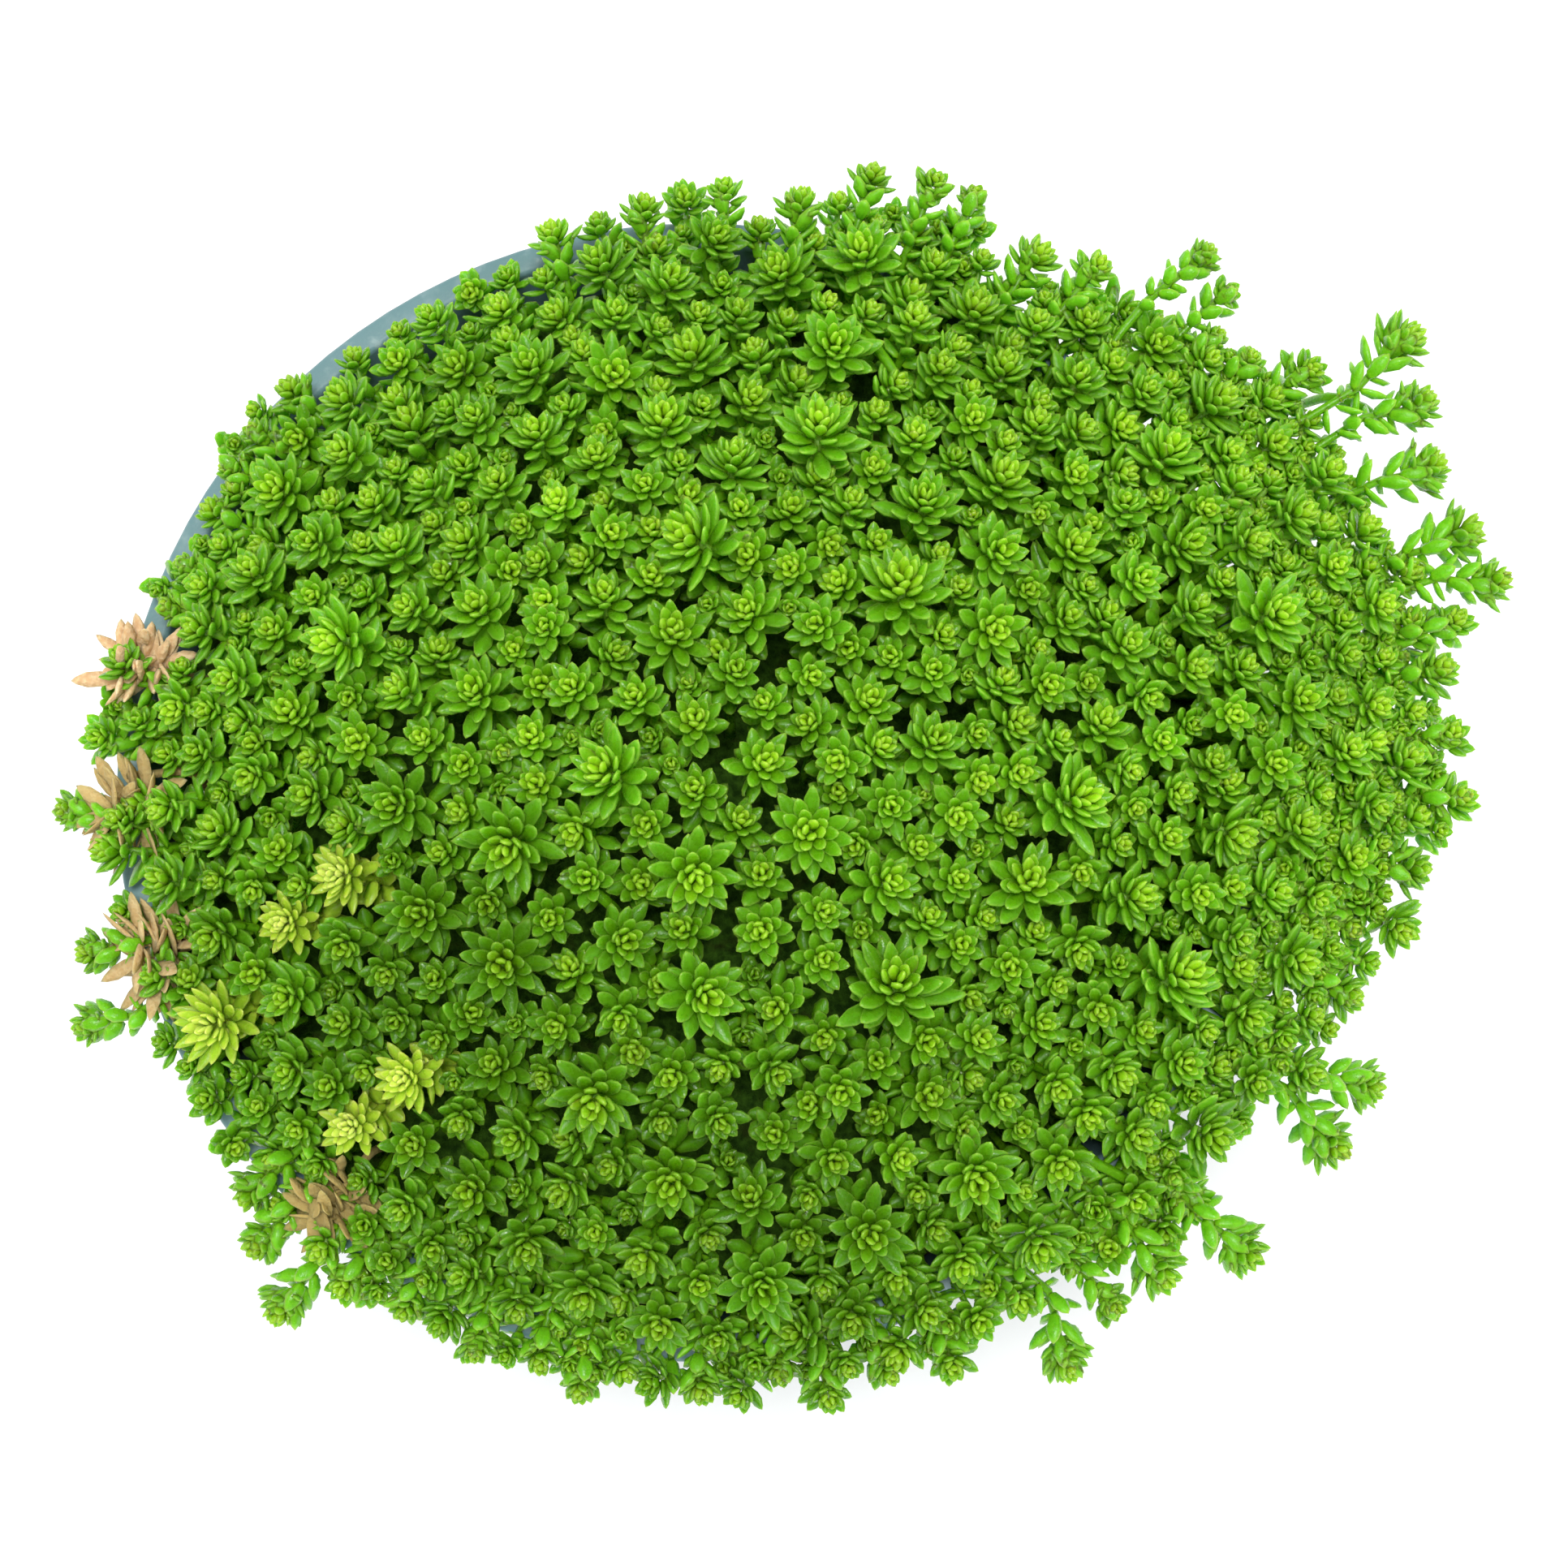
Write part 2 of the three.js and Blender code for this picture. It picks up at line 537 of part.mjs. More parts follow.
// Moves a stem's root clear of the lines between its tuft and the others, and of the slim stocks
function keepInTuft({ root }, seed, seeds, stocks) {
  for (const other of seeds) {
    if (other === seed) continue;
    const across = new THREE.Vector3(other.x - seed.x, other.y - seed.y, 0).normalize();
    const line = new THREE.Vector3((seed.x + other.x) / 2, (seed.y + other.y) / 2, root.z);
    const past = root.clone().sub(line).dot(across) + ROOT_MARGIN;
    if (past > 0) root.addScaledVector(across, -past);
  }
  for (const stock of stocks) {
    const flatRoot = root.clone().setZ(0);
    const away = flatRoot.sub(stock.closestPointToPoint(flatRoot, true, new THREE.Vector3()));
    const push = SLIM_RADIUS + 2 * ROOT_MARGIN - away.length();
    if (push > 0) root.add(away.setLength(push));
  }
}

function greenTufts(shoots, stocks) {
  const seeds = tuftSeeds();
  const distance = (seed, { root }) => Math.hypot(seed.x - root.x, seed.y - root.y);
  for (const shoot of shoots) {
    const seed = seeds.reduce((best, s) => (distance(s, shoot) < distance(best, shoot) ? s : best));
    keepInTuft(shoot, seed, seeds, stocks);
    seed.shoots.push(shoot);
  }
  return seeds.filter((seed) => seed.shoots.length);
}

// A tuft of one or two yellow or withered shoots on a slim upright stock that stands in the soil.
// Its space is what the green tufts and the soil leave free round it.
function slimTuft(shoots) {
  const roots = shoots.map(({ root }) => root);
  const low = SOIL_HEIGHT - CROWN_ROOT.depth;
  const bottom = Math.min(...roots.map(({ z }) => z)) - STOCK_DROP;
  const top = bottom + ROOT_DEPTH;
  roots.forEach((root) => root.setZ(bottom));
  const stock = column(outlineRound(roots, SLIM_RADIUS, 6), () => low, () => top);
  const gap = SLIM_RADIUS + 2 * CLEARANCE;
  const well = column(outlineRound(roots, gap, 6), () => low - CLEARANCE, () => top + CORE_DEPTH);
  const heads = shoots.map(({ head }) => head);
  const slot = column(outlineRound([...roots, ...heads], gap, 6), () => bottom - gap, () => top + CORE_DEPTH);
  return { solid: unite([stock, ...shoots.map(shootSolid)]), space: unite([well, slot]) };
}

function material(colour, roughness) {
  return new THREE.MeshStandardMaterial({ color: colour, roughness, metalness: 0 });
}

function meshOf(name, solid, finish) {
  const mesh = new THREE.Mesh(geometryOf(solid), finish);
  mesh.name = name;
  return mesh;
}

const plant = new THREE.Group();
const numbered = (name, index) => `${name}_${String(index + 1).padStart(2, "0")}`;

function build() {
  const shoots = placeShoots();
  shoots.forEach(stand);
  const group = (kind, index) => shoots.filter((shoot) => shoot.kind === kind && shoot.group === index);
  const slim = (kind, count) => Array.from({ length: count }, (_, index) => slimTuft(group(kind, index)));
  const yellow = slim("yellow", YELLOW_TUFTS.length);
  const withered = slim("withered", WITHERED_TUFTS.length);
  const taken = unite([...yellow, ...withered].map(({ space }) => space));
  const isGreen = ({ kind }) => kind !== "yellow" && kind !== "withered";
  const flatLine = ({ root, head }) => new THREE.Line3(root.clone().setZ(0), head.clone().setZ(0));
  const stocks = shoots.filter((shoot) => !isGreen(shoot)).map(flatLine);
  const green = greenTufts(shoots.filter(isGreen), stocks);

  const leafGreen = material(COLOURS.green, 0.45);
  green.forEach((tuft, index) => {
    const stock = core(tuft, green).subtract(taken);
    plant.add(meshOf(numbered("tuft", index), unite([stock, ...tuft.shoots.map(shootSolid)]), leafGreen));
  });
  yellow.forEach(({ solid }, i) =>
    plant.add(meshOf(numbered("yellow_tuft", i), solid, material(COLOURS.yellow, 0.45))));
  withered.forEach(({ solid }, i) =>
    plant.add(meshOf(numbered("withered_tuft", i), solid, material(COLOURS.withered, 0.8))));

  const soilBody = turned(
    [
      [0, FLOOR_THICKNESS + CLEARANCE],
      [insideRadius(FLOOR_THICKNESS) - CLEARANCE, FLOOR_THICKNESS + CLEARANCE],
      [insideRadius(SOIL_HEIGHT) - CLEARANCE, SOIL_HEIGHT],
      [0, SOIL_HEIGHT],
    ],
    POT_SIDES,
  );
  const holes = green.map(({ hole }) => {
    const low = SOIL_HEIGHT - CROWN_ROOT.depth - CLEARANCE;
    return post(hole.x, hole.y, CROWN_ROOT.radius + 1.5 * CLEARANCE, low, SOIL_HEIGHT + 1, 4);
  });
  plant.add(meshOf("soil", soilBody.subtract(unite([...holes, taken])), material(COLOURS.soil, 0.95)));
  plant.add(meshOf("pot", pot(), material(COLOURS.pot, 0.5)));
}

build();

export default plant;
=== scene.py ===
"""Goldmoss stonecrop in a round nursery pot, dressed leaf by leaf over its solid model.

Lengths in the placing rules are in millimetres, as in the solid model. Meshes are in metres.
"""

import math

import bmesh
import bpy
import numpy as np
from bpy.props import FloatProperty, FloatVectorProperty, IntProperty, PointerProperty
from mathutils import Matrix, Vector


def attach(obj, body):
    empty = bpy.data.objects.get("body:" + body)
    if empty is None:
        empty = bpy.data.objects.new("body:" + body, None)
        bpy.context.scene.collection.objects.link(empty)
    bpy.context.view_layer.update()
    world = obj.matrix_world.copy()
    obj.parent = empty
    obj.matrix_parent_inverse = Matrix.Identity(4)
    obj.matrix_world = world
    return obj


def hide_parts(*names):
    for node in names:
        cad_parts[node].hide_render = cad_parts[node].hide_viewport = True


bl_info = {
    "name": "Potted goldmoss stonecrop",
    "version": (1, 0, 0),
    "blender": (4, 5, 0),
    "location": "View3D > Sidebar > Stonecrop",
    "description": "Grows a stonecrop mat over its nursery pot",
    "category": "Object",
}

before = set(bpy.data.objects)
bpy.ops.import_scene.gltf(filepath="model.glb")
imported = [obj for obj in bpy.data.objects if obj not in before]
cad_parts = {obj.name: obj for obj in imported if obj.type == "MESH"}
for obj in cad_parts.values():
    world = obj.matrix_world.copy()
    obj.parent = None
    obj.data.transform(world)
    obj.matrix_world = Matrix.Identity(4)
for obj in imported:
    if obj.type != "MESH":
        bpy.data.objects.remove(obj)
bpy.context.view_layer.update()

MM = 0.001
GOLDEN_ANGLE = math.pi * (3 - math.sqrt(5))

# Seeds of the draws: the places of the model's shoots and of the small ones, then the looks of each part
SEED = 20731
FILL_SEED = 4127
YELLOW_SEED = SEED + 100
DRY_SEED = SEED + 200
SOIL_SEED = SEED + 300
LITTER_SEED = SEED + 400

# The pot and the dome of shoots, as in the solid model
POT_HEIGHT = 110.0
RIM_RADIUS = 76.0
SOIL_HEIGHT = 98.0
REACH = [99, 97, 80.5, 77, 73, 73, 76.5, 77, 79, 80, 82, 89]
CROWN_HEIGHT = 138.0
EDGE_HEIGHT = 116.0
EDGE_DROOP = 0.42
EDGE_INSET = 2.5
EDGE_LEAN = 0.55
LEAN_SPREAD = 0.3
HEIGHT_SPREAD = 3.0
TALL_RISE = 1.5
CLEARANCE = 0.3

# How close the shoots stand, and how large their rosettes are
SHOOT_PITCH = 4.85
FIELD_RADIUS = 102.0
SHOOT_JITTER = 3.4
ROSETTE_MIN = 3.7
ROSETTE_SPREAD = 2.0
FIXED_ROOM = 0.72
SETTLE_ROUNDS = 30

# Tufts: the middle one, then rings of them given as (radius, count)
TUFT_RINGS = [(0, 1), (22, 6), (42, 12), (64, 18)]
CORE_DEPTH = 5.0
CORE_INSET = 7.0
LEDGE_HEIGHT = POT_HEIGHT + 0.7
LEDGE_END = RIM_RADIUS + 0.7
LEDGE_FALL = 0.62

# Where a stem leaves its tuft: how far from its rosette, how deep, and for a withered one how far out
STEM_LENGTH = 6.5
EDGE_STEM = 9.0
RUNNER_STEM = 15.0
ROOT_DEPTH = 2.4
ROOT_MARGIN = 0.2
WITHERED_ROOT = 64.5

# The place behind a runner's rosette that other shoots leave free: how far behind it, and its radius
RUNNER_FREE = (8.5, 1.8)

# Tall leafy shoots that stand out of the dome: x, y and rosette radius
TALL_SHOOTS = [
    (-21, -14, 6.4), (-9, -6, 6.2), (1, -18, 6.3), (25, -31, 7), (2, -32, 6.2), (1, 23, 6.4), (26, 17, 6.6),
    (16, 38, 6.2), (18, 51, 5.8), (-22, -28, 6.2), (60, -29, 6.2), (-11, -44, 6), (35, -53, 6), (22, -60, 6),
    (9, -66, 5.6), (47, -8, 6.2), (61, 39, 6.2), (-43, 12, 5.8), (22, 66, 5.8), (74, 18, 6.4),
]

# Small places where no shoot stands and the dark inside shows: x and y
HOLLOW_RADIUS = 2.5
HOLLOWS = [(11.6, 7.9), (35.7, 5.3), (15, -28), (27, 45), (-38, -30)]

# What the small shoots leave open there and elsewhere: x, y and radius
DARK_GAPS = [
    (10.9, 8.2, 2.4), (35.7, 4.1, 2.5), (4.5, -0.8, 2.2), (42.7, -7.8, 1.8), (14.1, -30.4, 1.3),
    (9.6, -37.8, 1.3), (29.9, 47.4, 1.6), (-33.2, -26.3, 1.4), (49, -23.6, 1.2), (58, 16.3, 1.2),
    (24.4, 52.8, 1.9), (-11.6, -19.1, 1.3), (51.8, -51.8, 1.5), (73.5, 7.6, 1.1), (-52.6, 35.8, 1.2),
]

# Shoots that make the outline: degrees from +X towards +Y, distance from the axis, height, rosette radius
EDGE_SHOOTS = [
    (67.9, 83.7, 118, 4.1), (64.1, 84.9, 117, 3.2), (73.5, 81.7, 118, 3.3), (79.4, 75, 120, 3.7),
    (87, 76, 119, 3.4), (95.4, 73.8, 119, 3.4), (105, 72.6, 118, 3.7), (137.1, 72.2, 117, 3.6),
    (143, 71.9, 117, 3.4), (147.4, 72, 117, 3), (152.4, 70.6, 117, 3.2), (159, 70.6, 117, 3.2),
    (163.4, 70.9, 116, 3), (-89.1, 78.4, 115, 3.3), (-99.9, 79.8, 113, 3), (-104, 77.2, 115, 3.3),
    (-110, 78.5, 114, 3), (-117.2, 77.4, 114, 3), (-123.2, 78.9, 112, 3.4), (-77.8, 81.3, 113, 3.3),
    (-81.6, 77, 114, 3.2), (-72.3, 80.4, 113, 3), (-66.7, 82.4, 113, 3.5), (-52.6, 86.5, 112, 3),
    (-13.5, 87.4, 108, 3.7), (-19.1, 89.2, 108, 4.1), (-7.8, 94.6, 107, 4.3), (2.8, 100.2, 106, 3.8),
    (-1.8, 101, 104, 4.1), (7.9, 99.3, 107, 4.1), (11.6, 104, 104, 3.5), (40.3, 91.2, 110, 3.7),
    (42.3, 96.2, 112, 2.9), (51.5, 85.5, 115, 3.6), (56.5, 81.5, 116, 4), (33.7, 99, 108, 3.8),
    (36.9, 93.4, 109, 3.5), (-41.3, 85.3, 108, 3.5),
]

# Runners: longer stems that trail past the outline, given the same way
RUNNERS = [
    (31.5, 111.2, 111, 4.7), (27.4, 110, 107, 3.9), (23.3, 108, 103.5, 3.9), (18, 109, 103, 4.2),
    (13.9, 110.2, 105, 3.6), (45.5, 97, 114, 2.8), (-25, 96.7, 103, 3.4), (-30.1, 96.2, 101, 3.7),
    (-41.2, 94.1, 104, 3.7), (-47.6, 87.5, 109, 3.6), (-58.1, 88.7, 109, 3.7), (-126.8, 85.8, 110, 3.5),
    (-131.7, 81.7, 111, 3.1), (-135.3, 77.6, 113, 3.3), (-162.4, 80.5, 113, 3.1), (-156.8, 84.7, 109, 2.9),
    (-175.8, 81, 112, 2.9),
]

# The runners whose stems are mostly bare, counted from the first
BARE_RUNNERS = (0, 5)

# Yellow shoots, by tuft: x, y and rosette radius
YELLOW_TUFTS = [
    [(-59.3, -34, 6.2)],
    [(-49.6, -22, 4.8), (-42.4, -16.6, 5.2)],
    [(-41.2, -46.8, 4.9), (-34.2, -41.2, 5.2)],
]

# Withered shoots lying over the rim: degrees from +X towards +Y, distance from the axis, height, radius
WITHERED_TUFTS = [
    (170.2, 73.8, 115.5, 6), (-178.6, 73.5, 115, 5), (-159.5, 73.5, 115.5, 4.8), (-128.9, 74.4, 115, 4.8),
]

# Small green rosettes on top of the withered shoots, given the same way
PERCHED = [
    (170.6, 74.2, 118.5, 3.6), (-173.6, 73, 118, 3.2), (-157.2, 72.8, 118, 3.4), (-126.6, 76.6, 116.5, 3),
]

# Bare stems that show between the rosettes: x and y of their two ends
BARE_STEMS = [
    (21.5, 57.0, 26.8, 48.3), (-13.6, -17.4, -9.6, -20.6), (48.6, -50.4, 54.5, -53.1),
    (86.4, 53.0, 92, 50.9), (71.9, 10.2, 75.1, 5.1), (-54.4, 33.2, -50.9, 38.5),
]
BARE_DEPTH = 2.6
BARE_RADIUS = 0.72
BARE_STEPS = 14

# The way such a stem dips at its ends: the share of its length, and how far it has sunk there
BARE_DIPS = ((-0.4, 6.0), (0.0, 0.8), (0.5, 0.0), (1.0, 0.8), (1.4, 6.0))

# The later, smaller shoots that crowd between the others
FILL_PITCH = 3.9
FILL_INSET = 0.5
FILL_RADIUS = (2.7, 1.3)
FILL_ROOM = 0.49
DRY_ROOM = 0.98
FILL_ROUNDS = 24
FILL_DROP = (0.2, 2.2)

# Where the small shoots stop further in, so that the rim shows, or further out: from and to in degrees,
# and by how much
EDGE_SHIFTS = [
    (106, 134, 2.2), (134, 147, -3.2), (147, 152, 0.4), (152, 166, -0.8), (166, 172, -0.8), (172, 180, -1.4),
    (63, 76, -4.2), (-5, 30, -1.2), (-28, -5, 0.9), (-40, -28, 4.0), (-62, -45, 2.2),
]

# The lowest shoots, which fill what gaps are left: the grid they are tried on, the gap that is left open,
# and their size for the gap they fill. Past the rim they are closer and larger
LOW_GRID = 1.1
LOW_GAP = 1.5
OUTER_GAP = 0.35
OUTER_SIZE = 1.35
LOW_INSET = 0.5
LOW_SHARE = 1.2
LOW_RADIUS = (1.9, 2.9)
LOW_DROP = (1.8, 2.0)
ROSETTE_COVER = 0.82

# Leaves: the profiles of the fine and the plain ones as (along, width, thickness), and their sides. Then how
# thick a leaf is for its width, how much rounder a young one is and until which age, and how flat its top is
LEAF_PROFILE = [
    (0.0, 0.0, 0.0), (0.14, 0.54, 0.62), (0.42, 0.95, 0.97), (0.69, 0.95, 0.9), (0.9, 0.47, 0.46),
    (1.0, 0.0, 0.0),
]
PLAIN_PROFILE = [(0.0, 0.0, 0.0), (0.22, 0.74, 0.82), (0.6, 1.04, 1.0), (0.88, 0.55, 0.54), (1.0, 0.0, 0.0)]
FINE_SIDES = 6
PLAIN_SIDES = 5
LEAF_THICKNESS = 0.56
YOUNG_ROUNDNESS = 0.22
YOUNG_END = 0.25
LEAF_FLAT = 0.6

# Stems: their sides and their steps, those of the path that leaves stand on, and of a curve between two stops
STEM_SIDES = 6
STEM_STEPS = 8
FINE_STEPS = 40
CURVE_STEPS = 12

# Which of its piece's finishes a leaf and a stem take, and how old a stem looks
LEAF_SLOT = 0
STEM_SLOT = 1
STEM_AGE = 0.5


def linear(red, green, blue):
    """A colour given as it shows on screen, from 0 to 255, as the shader's linear numbers."""
    shares = (channel / 255 for channel in (red, green, blue))
    return tuple(s / 12.92 if s <= 0.04045 else ((s + 0.055) / 1.055) ** 2.4 for s in shares)


class StonecropSizes(bpy.types.PropertyGroup):
    """Sizes that a user would change"""

    leaf_width: FloatProperty(
        name="Leaf width", description="Width of a grown leaf in millimetres", default=2.02, min=0.8, max=4.0
    )
    leaf_count: IntProperty(
        name="Leaves", description="Leaves in a rosette of 4 mm radius", default=22, min=8, max=40
    )
    stem_radius: FloatProperty(
        name="Stem radius", description="Radius of a stem in millimetres", default=0.62, min=0.2, max=2.0
    )


def colour_choice(name, description, *screen):
    """A colour to choose, with its first value given as it shows on screen."""
    return FloatVectorProperty(name=name, description=description, subtype="COLOR", default=linear(*screen))


class StonecropColours(bpy.types.PropertyGroup):
    """Colours that a user would change"""

    bud: colour_choice("Bud", "Young leaves in a green bud", 140, 190, 22)
    leaf: colour_choice("Leaf", "Grown green leaves", 101, 163, 8)
    # The old leaves' green, raised as painted light against the shade low on the stems
    old_leaf: colour_choice("Old leaf", "Old leaves low on a stem", 98, 164, 20)
    yellow: colour_choice("Yellow leaf", "Leaves of the yellow shoots", 184, 220, 56)
    dry: colour_choice("Dry leaf", "Withered leaves", 244, 212, 166)
    stem: colour_choice("Stem", "Young stems", 184, 196, 124)
    pot: colour_choice("Pot", "Moulded plastic of the pot", 112, 146, 150)
    soil: colour_choice("Soil", "Potting soil", 58, 46, 36)


class StonecropStage(bpy.types.PropertyGroup):
    """The light on the plant"""

    sky: FloatProperty(name="Sky", description="Strength of the white sky", default=0.99, min=0.0, max=5.0)
    key: FloatProperty(
        name="Key light", description="Power of the soft key light", subtype="POWER", default=8.3, min=0.0
    )
    floor: FloatVectorProperty(
        name="Floor", description="Colour of the pale floor", subtype="COLOR", default=(0.95, 0.95, 0.945)
    )


class Signal:
    """A socket of a finish's node tree. Arithmetic on it adds the nodes."""

    def __init__(self, finish, socket):
        self.finish = finish
        self.socket = socket

    def combine(self, operation, other):
        if self.socket.type == "RGBA":
            return self.finish.mix(self, other, 1.0, operation)
        return self.finish.node("ShaderNodeMath", {"operation": operation}, {0: self, 1: other})

    def __add__(self, other):
        return self.combine("ADD", other)

    def __mul__(self, other):
        return self.combine("MULTIPLY", other)

    __radd__ = __add__
    __rmul__ = __mul__

    def between(self, low, high):
        """How far this value is from low to high, kept within 0 and 1."""
        settings = {"interpolation_type": "SMOOTHSTEP"}
        inputs = {"Value": self, "From Min": low, "From Max": high}
        return self.finish.node("ShaderNodeMapRange", settings, inputs)


class Finish:
    """A material of one Principled shader, and the nodes that feed it."""

    def __init__(self, name, **constants):
        self.material = bpy.data.materials.new(name)
        self.material.use_nodes = True
        self.tree = self.material.node_tree
        self.tree.nodes.clear()
        self.shader = self.tree.nodes.new("ShaderNodeBsdfPrincipled")
        surface = self.tree.nodes.new("ShaderNodeOutputMaterial")
        self.tree.links.new(self.shader.outputs["BSDF"], surface.inputs["Surface"])
        for key, value in constants.items():
            self.feed(self.shader.inputs[key.replace("_", " ").title().replace("Ior", "IOR")], value)

    def feed(self, socket, value):
        if isinstance(value, Signal):
            self.tree.links.new(value.socket, socket)
        elif socket.type == "RGBA":
            socket.default_value = (*value[:3], 1.0)
        else:
            socket.default_value = value

    def node(self, kind, settings=None, inputs=None, output=0):
        made = self.tree.nodes.new(kind)
        for key, value in (settings or {}).items():
            if key == "stops":
                self.set_stops(made.color_ramp, value)
            else:
                setattr(made, key, value)
        for key, value in (inputs or {}).items():
            self.feed(made.inputs[key], value)
        return Signal(self, made.outputs[output])

    def set_stops(self, ramp, stops):
        while len(ramp.elements) < len(stops):
            ramp.elements.new(1.0)
        for element, (place, colour) in zip(ramp.elements, stops):
            element.position = place
            element.color = (*colour[:3], 1.0)

    def mix(self, first, second, share, mode="MIX"):
        settings = {"data_type": "RGBA", "blend_type": mode}
        return self.node("ShaderNodeMix", settings, {0: share, 6: first, 7: second}, output=2)

    def layers(self, colour, *others):
        """A colour with others laid over it, each by its share."""
        for other, share in others:
            colour = self.mix(colour, other, share)
        return colour

    def ramp(self, value, stops):
        return self.node("ShaderNodeValToRGB", {"stops": stops}, {0: value})

    def place(self):
        return self.node("ShaderNodeTexCoord", output="Object")

    def attribute(self, name):
        settings = {"attribute_type": "GEOMETRY", "attribute_name": name}
        return self.node("ShaderNodeAttribute", settings, output="Fac")

    def noise(self, scale, detail=2.0, place=None):
        inputs = {"Vector": place or self.place(), "Scale": scale, "Detail": detail}
        return self.node("ShaderNodeTexNoise", None, inputs)

    def surface(self, colour, roughness, height, depth):
        """Feeds the shader its colour, its roughness, and a relief of the given depth in millimetres."""
        self.feed(self.shader.inputs["Base Color"], colour)
        self.feed(self.shader.inputs["Roughness"], roughness)
        relief = {"Strength": 1.0, "Distance": depth * MM, "Height": height}
        self.feed(self.shader.inputs["Normal"], self.node("ShaderNodeBump", None, relief))
        return self.material


def leaf_finish(name, bud, grown, old):
    """A fat glossy leaf, paler in the bud and deeper with age, finely beaded; painted light lies at its
    margin and, with a paler tint, at its tip.
    """
    finish = Finish(
        name, subsurface_weight=0.7, subsurface_radius=(0.6, 1.0, 0.2), subsurface_scale=2.2 * MM,
        specular_ior_level=0.5,
    )
    age = finish.attribute("age")
    along = finish.attribute("along")
    tone = finish.attribute("tone")
    middle = [0.5 * (a + b) for a, b in zip(bud, grown)]
    stops = [(0.0, bud), (0.07, bud), (0.17, middle), (0.32, grown), (0.72, old), (1.0, old)]
    # A pale green for painted light: along the margin, and at the tip as partly a paler tint and partly a
    # painted highlight
    pale = [0.8 * c + lift for c, lift in zip(bud, (0.13, 0.13, 0.09))]
    # Where painted light lies along the leaf's margin, from its middle outwards
    margin = finish.attribute("margin").between(0.6, 1.0) * along.between(0.3, 0.6)
    colour = finish.layers(
        finish.ramp(age, stops),
        (bud, along.between(0.45, 0.0) * 0.35),
        (pale, margin * 0.26),
        # The tip: partly its own paler tint, partly a painted highlight
        (pale, along.between(0.8, 1.0) * 0.36),
    )
    mottle = finish.noise(900.0, 3.0).between(0.35, 0.7)
    # The tone carries a random tone plus painted light and shade: the patches, the lighter bud and the lifted
    # lower leaves
    shade = (0.72 + 0.5 * tone) * (0.9 + 0.16 * mottle)
    beads = finish.noise(6500.0, 1.0).between(0.35, 0.75)
    return finish.surface(colour * shade, 0.22 + 0.14 * mottle, beads, 0.02)


def stem_finish(young):
    """A stem that is pale green near its tip and brown and ringed by leaf scars near its root."""
    finish = Finish(
        "stem_skin", subsurface_weight=0.1, subsurface_radius=(0.6, 0.8, 0.3), subsurface_scale=0.6 * MM
    )
    colour = finish.mix(linear(120, 88, 54), young, finish.attribute("along").between(0.25, 0.8))
    scars = finish.noise(1400.0, 2.0).between(0.4, 0.65)
    return finish.surface(colour * (0.75 + 0.3 * scars), 0.5 + 0.2 * scars, scars, 0.08)


def dry_finish(dry):
    """A papery dead leaf, darker in its creases as painted shade, olive brown with age and at its foot."""
    finish = Finish(
        "dry_leaf", subsurface_weight=0.4, subsurface_radius=(1.0, 0.7, 0.4), subsurface_scale=1.5 * MM,
        specular_ior_level=0.25,
    )
    fibres = finish.noise(1500.0, 4.0).between(0.3, 0.72)
    colour = finish.layers(
        linear(208, 162, 112),
        # Painted shade: darker where the fibre relief sinks
        (dry, 0.35 + 0.65 * fibres),
        (linear(160, 144, 74), finish.attribute("age") * 0.8),
        (linear(140, 116, 60), finish.attribute("along").between(0.35, 0.0) * 0.6),
    )
    shade = 0.7 + 0.5 * finish.attribute("tone")
    return finish.surface(colour * shade, 0.8 + 0.1 * fibres, fibres, 0.12)


def deselect_all():
    if bpy.context.object and bpy.context.object.mode != "OBJECT":
        bpy.ops.object.mode_set(mode="OBJECT")
    bpy.ops.object.select_all(action="DESELECT")


def select_only(*pieces):
    """Selects these and nothing else, and makes the first one active."""
    deselect_all()
    for piece in pieces:
        piece.select_set(True)
    bpy.context.view_layer.objects.active = pieces[0]


def start_piece(name):
    """Names the primitive that was just added."""
    piece = bpy.context.object
    piece.name = name
    piece.data.name = name
    return piece


def settle_piece(piece, slot, nodes, *materials):
    """Puts a finished piece at the origin, gives it its finishes and hides the solid model's parts it
    replaces; its slot is not used.
    """
    select_only(piece)
    bpy.ops.object.transform_apply(location=True, rotation=True, scale=True)
    piece.data.materials.clear()
    for material in materials:
        piece.data.materials.append(material)
    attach(piece, "root")
    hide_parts(*nodes)


# Placing: the same rule, in the same order, as the solid model's


class Draws:
    """Seeded draws from 0 to 1."""

    def __init__(self, seed):
        self.state = seed

    def __call__(self):
        self.state = self.state * 16807 % 2147483647
        return self.state / 2147483647


def reach_at(angle):
    """How far the dome reaches from the axis at an angle."""
    place = ((angle / (2 * math.pi)) % 1) * len(REACH)
    before = int(place) % len(REACH)
    share = place - int(place)
    ease = share * share * (3 - 2 * share)
    return REACH[before] + (REACH[(before + 1) % len(REACH)] - REACH[before]) * ease


def reach_towards(x, y):
    return reach_at(math.atan2(y, x))


def dome_height(x, y):
    """The height that the rosettes stand at."""
    reach = reach_towards(x, y)
    edge = EDGE_HEIGHT - EDGE_DROOP * max(0.0, reach - RIM_RADIUS)
    share = min(1.0, math.hypot(x, y) / reach)
    return edge + (CROWN_HEIGHT - edge) * (1 - share * share)


def facing(x, y):
    """The way a rosette faces: out of the dome, and more outwards near its edge."""
    slope_x = (dome_height(x + 1, y) - dome_height(x - 1, y)) / 2
    slope_y = (dome_height(x, y + 1) - dome_height(x, y - 1)) / 2
    distance = max(1.0, math.hypot(x, y))
    share = min(1.0, distance / reach_towards(x, y))
    push = EDGE_LEAN * share**3
    return Vector((-slope_x + push * x / distance, -slope_y + push * y / distance, 1)).normalized()


